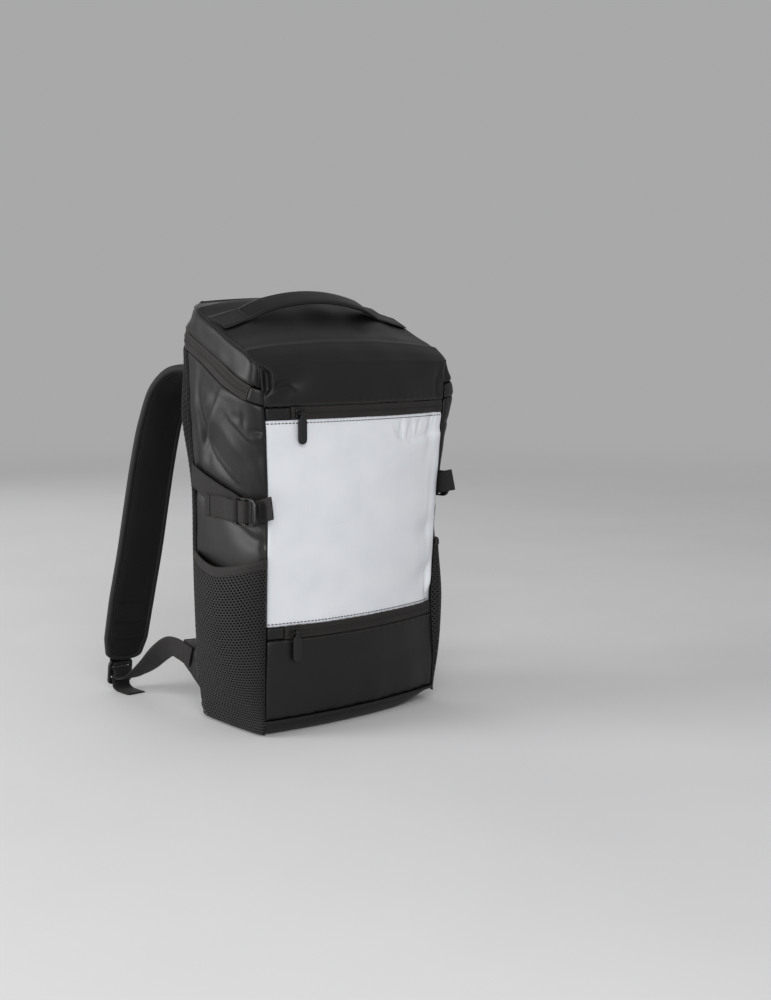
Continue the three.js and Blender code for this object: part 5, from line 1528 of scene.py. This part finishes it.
def pull_parts(place_at):
    middle = moved(0, 0, -PULL_NECK - PULL_LENGTH / 2) @ FACING
    neck = moved(0, 0, -HOLE - 0.6 - PULL_NECK / 2) @ FACING
    parts = [
        (plate([circle(EYE), circle(HOLE)], EYE_WIDTH, 0.35), ENDWAYS),
        (plate([rounded(EYE_WIDTH, PULL_NECK + 1, 0.9)], PULL_THICK, 0.7), neck),
        (plate([rounded(PULL_WIDTH, PULL_LENGTH, 5.2)], PULL_THICK, 0.95), middle),
        (plate([rounded(PULL_WIDTH - 3.4, PULL_LENGTH - 5, 3.6)], PULL_THICK + 0.5, 0.3), middle),
    ]
    return [(mesh, place_at @ matrix) for mesh, matrix in parts]


def add_zip_slider(name, span, x):
    z = np.float64((span[0] + span[1]) / 2)
    half, _, bulge = section(z, 0.6)[:3]
    face = front_point(x / half, z, 0.6)
    turn = math.atan2(2 * bulge * x / half ** 2, 1)
    out = np.array((math.sin(turn), -math.cos(turn), 0))
    turned = Matrix.Rotation(turn, 4, "Z")
    hardware(f"{name}_slider_body", slider_parts(moved(*face) @ turned), METAL, "plastic",
             nodes=(f"{name}_zip_slider",))
    hardware(f"{name}_pull_tab", pull_parts(moved(*(face + out * SLIDER_REACH)) @ turned), PULL, "pull",
             f"{name}_pull", (f"{name}_zip_pull",))


for name, span in (("upper", UPPER_ZIP), ("lower", LOWER_ZIP)):
    add_zip_slider(name, span, -93)

MAIN_SLIDER = 0.2
at = np.float64(MAIN_SLIDER)
z = (zip_height(ZIP_LOWER_EDGE, at) + zip_height(ZIP_UPPER_EDGE, at)) / 2
face, near, far = (wall_left(at + step, z, 0.6, True) for step in (0, 0.02, -0.02))
turned = Matrix.Rotation(math.atan2(near[1] - far[1], -(near[0] - far[0])), 4, "Z")
spot = moved(2.8 - face[0], face[1], face[2]) @ turned
slope = Matrix.Rotation(-math.atan(ZIP_LOWER_EDGE[1]), 4, "Y")
body = (plate([rounded(SLIDER_WIDTH, SLIDER_HEIGHT, 2.6)], SLIDER_PLATE, 0.7),
        spot @ slope @ moved(0, -SLIDER_LIFT - SLIDER_PLATE / 2, 0) @ FACING)
tab_y = -SLIDER_LIFT - SLIDER_PLATE - PULL_THICK / 2 + 0.4
tab = (plate([rounded(PULL_WIDTH, PULL_LENGTH, 5.0)], PULL_THICK, 0.9),
       spot @ moved(0, tab_y, -PULL_LENGTH / 2) @ FACING)
hardware("main_zip_slider_body", [body, tab], PULL, "plastic", nodes=("main_zip_slider",))

finish_stitches()

# Floor, light and camera
floor_mesh = bpy.data.meshes.new("floor")
floor_mesh.from_pydata([(-5, -5, 0), (5, -5, 0), (5, 5, 0), (-5, 5, 0)], [], [(0, 1, 2, 3)])
look = Look("floor", 0.95, 0.0)
look.color(look.noise(3, 3), (0.3, (0.70, 0.70, 0.704)), (0.7, (0.73, 0.73, 0.733)))
reach = look.node("ShaderNodeVectorMath", {0: look.places["Object"]}, operation="LENGTH").outputs["Value"]
span = {"Value": reach, "From Min": 0.9, "From Max": 4.5}
fade = look.node("ShaderNodeMapRange", span, interpolation_type="SMOOTHSTEP").outputs[0]
clear = look.node("ShaderNodeBsdfTransparent").outputs[0]
blend = look.node("ShaderNodeMixShader", {0: fade, 1: look.shader.outputs[0], 2: clear}).outputs[0]
look.tree.links.new(blend, look.tree.nodes["Material Output"].inputs["Surface"])
floor_mesh.materials.append(look.material)
floor = add_object("floor", floor_mesh)

world = bpy.data.worlds.new("studio")
world.use_nodes = True
world.node_tree.nodes["Background"].inputs["Color"].default_value = (0.79, 0.79, 0.80, 1)
world.node_tree.nodes["Background"].inputs["Strength"].default_value = 0.5
bpy.context.scene.world = world
bpy.context.scene.view_settings.view_transform = "Standard"


def aim(thing, at, ahead):
    thing.location = at
    thing.rotation_mode = "QUATERNION"
    thing.rotation_quaternion = ahead.to_track_quat("-Z", "Y")


def area_light(name, at, target, size, power):
    lamp = bpy.data.lights.new(name, "AREA")
    lamp.shape = "DISK"
    lamp.size = size
    lamp.energy = power
    aim(add_object(name, lamp), at, Vector(target) - Vector(at))


area_light("key", (-1.6, -2.1, 1.4), (0, 0, 0.28), 1.6, 38)
area_light("side", (-2.2, 1.2, 0.85), (0, 0, 0.3), 1.5, 42)
area_light("rim", (0.6, 2.4, 1.5), (0, 0, 0.3), 1.6, 10)
area_light("fill", (0.3, -2.6, 1.6), (0, 0, 0.25), 1.8, 3)

AZIMUTH, PITCH = math.radians(43), math.radians(6.52)
ahead = Vector((math.sin(AZIMUTH) * math.cos(PITCH), math.cos(AZIMUTH) * math.cos(PITCH), -math.sin(PITCH)))
lens = bpy.data.cameras.new("camera")
lens.lens = 54
lens.sensor_width = 36
camera = add_object("camera", lens)
aim(camera, (-1.1363, -1.3355, 0.45), ahead)
bpy.context.scene.camera = camera
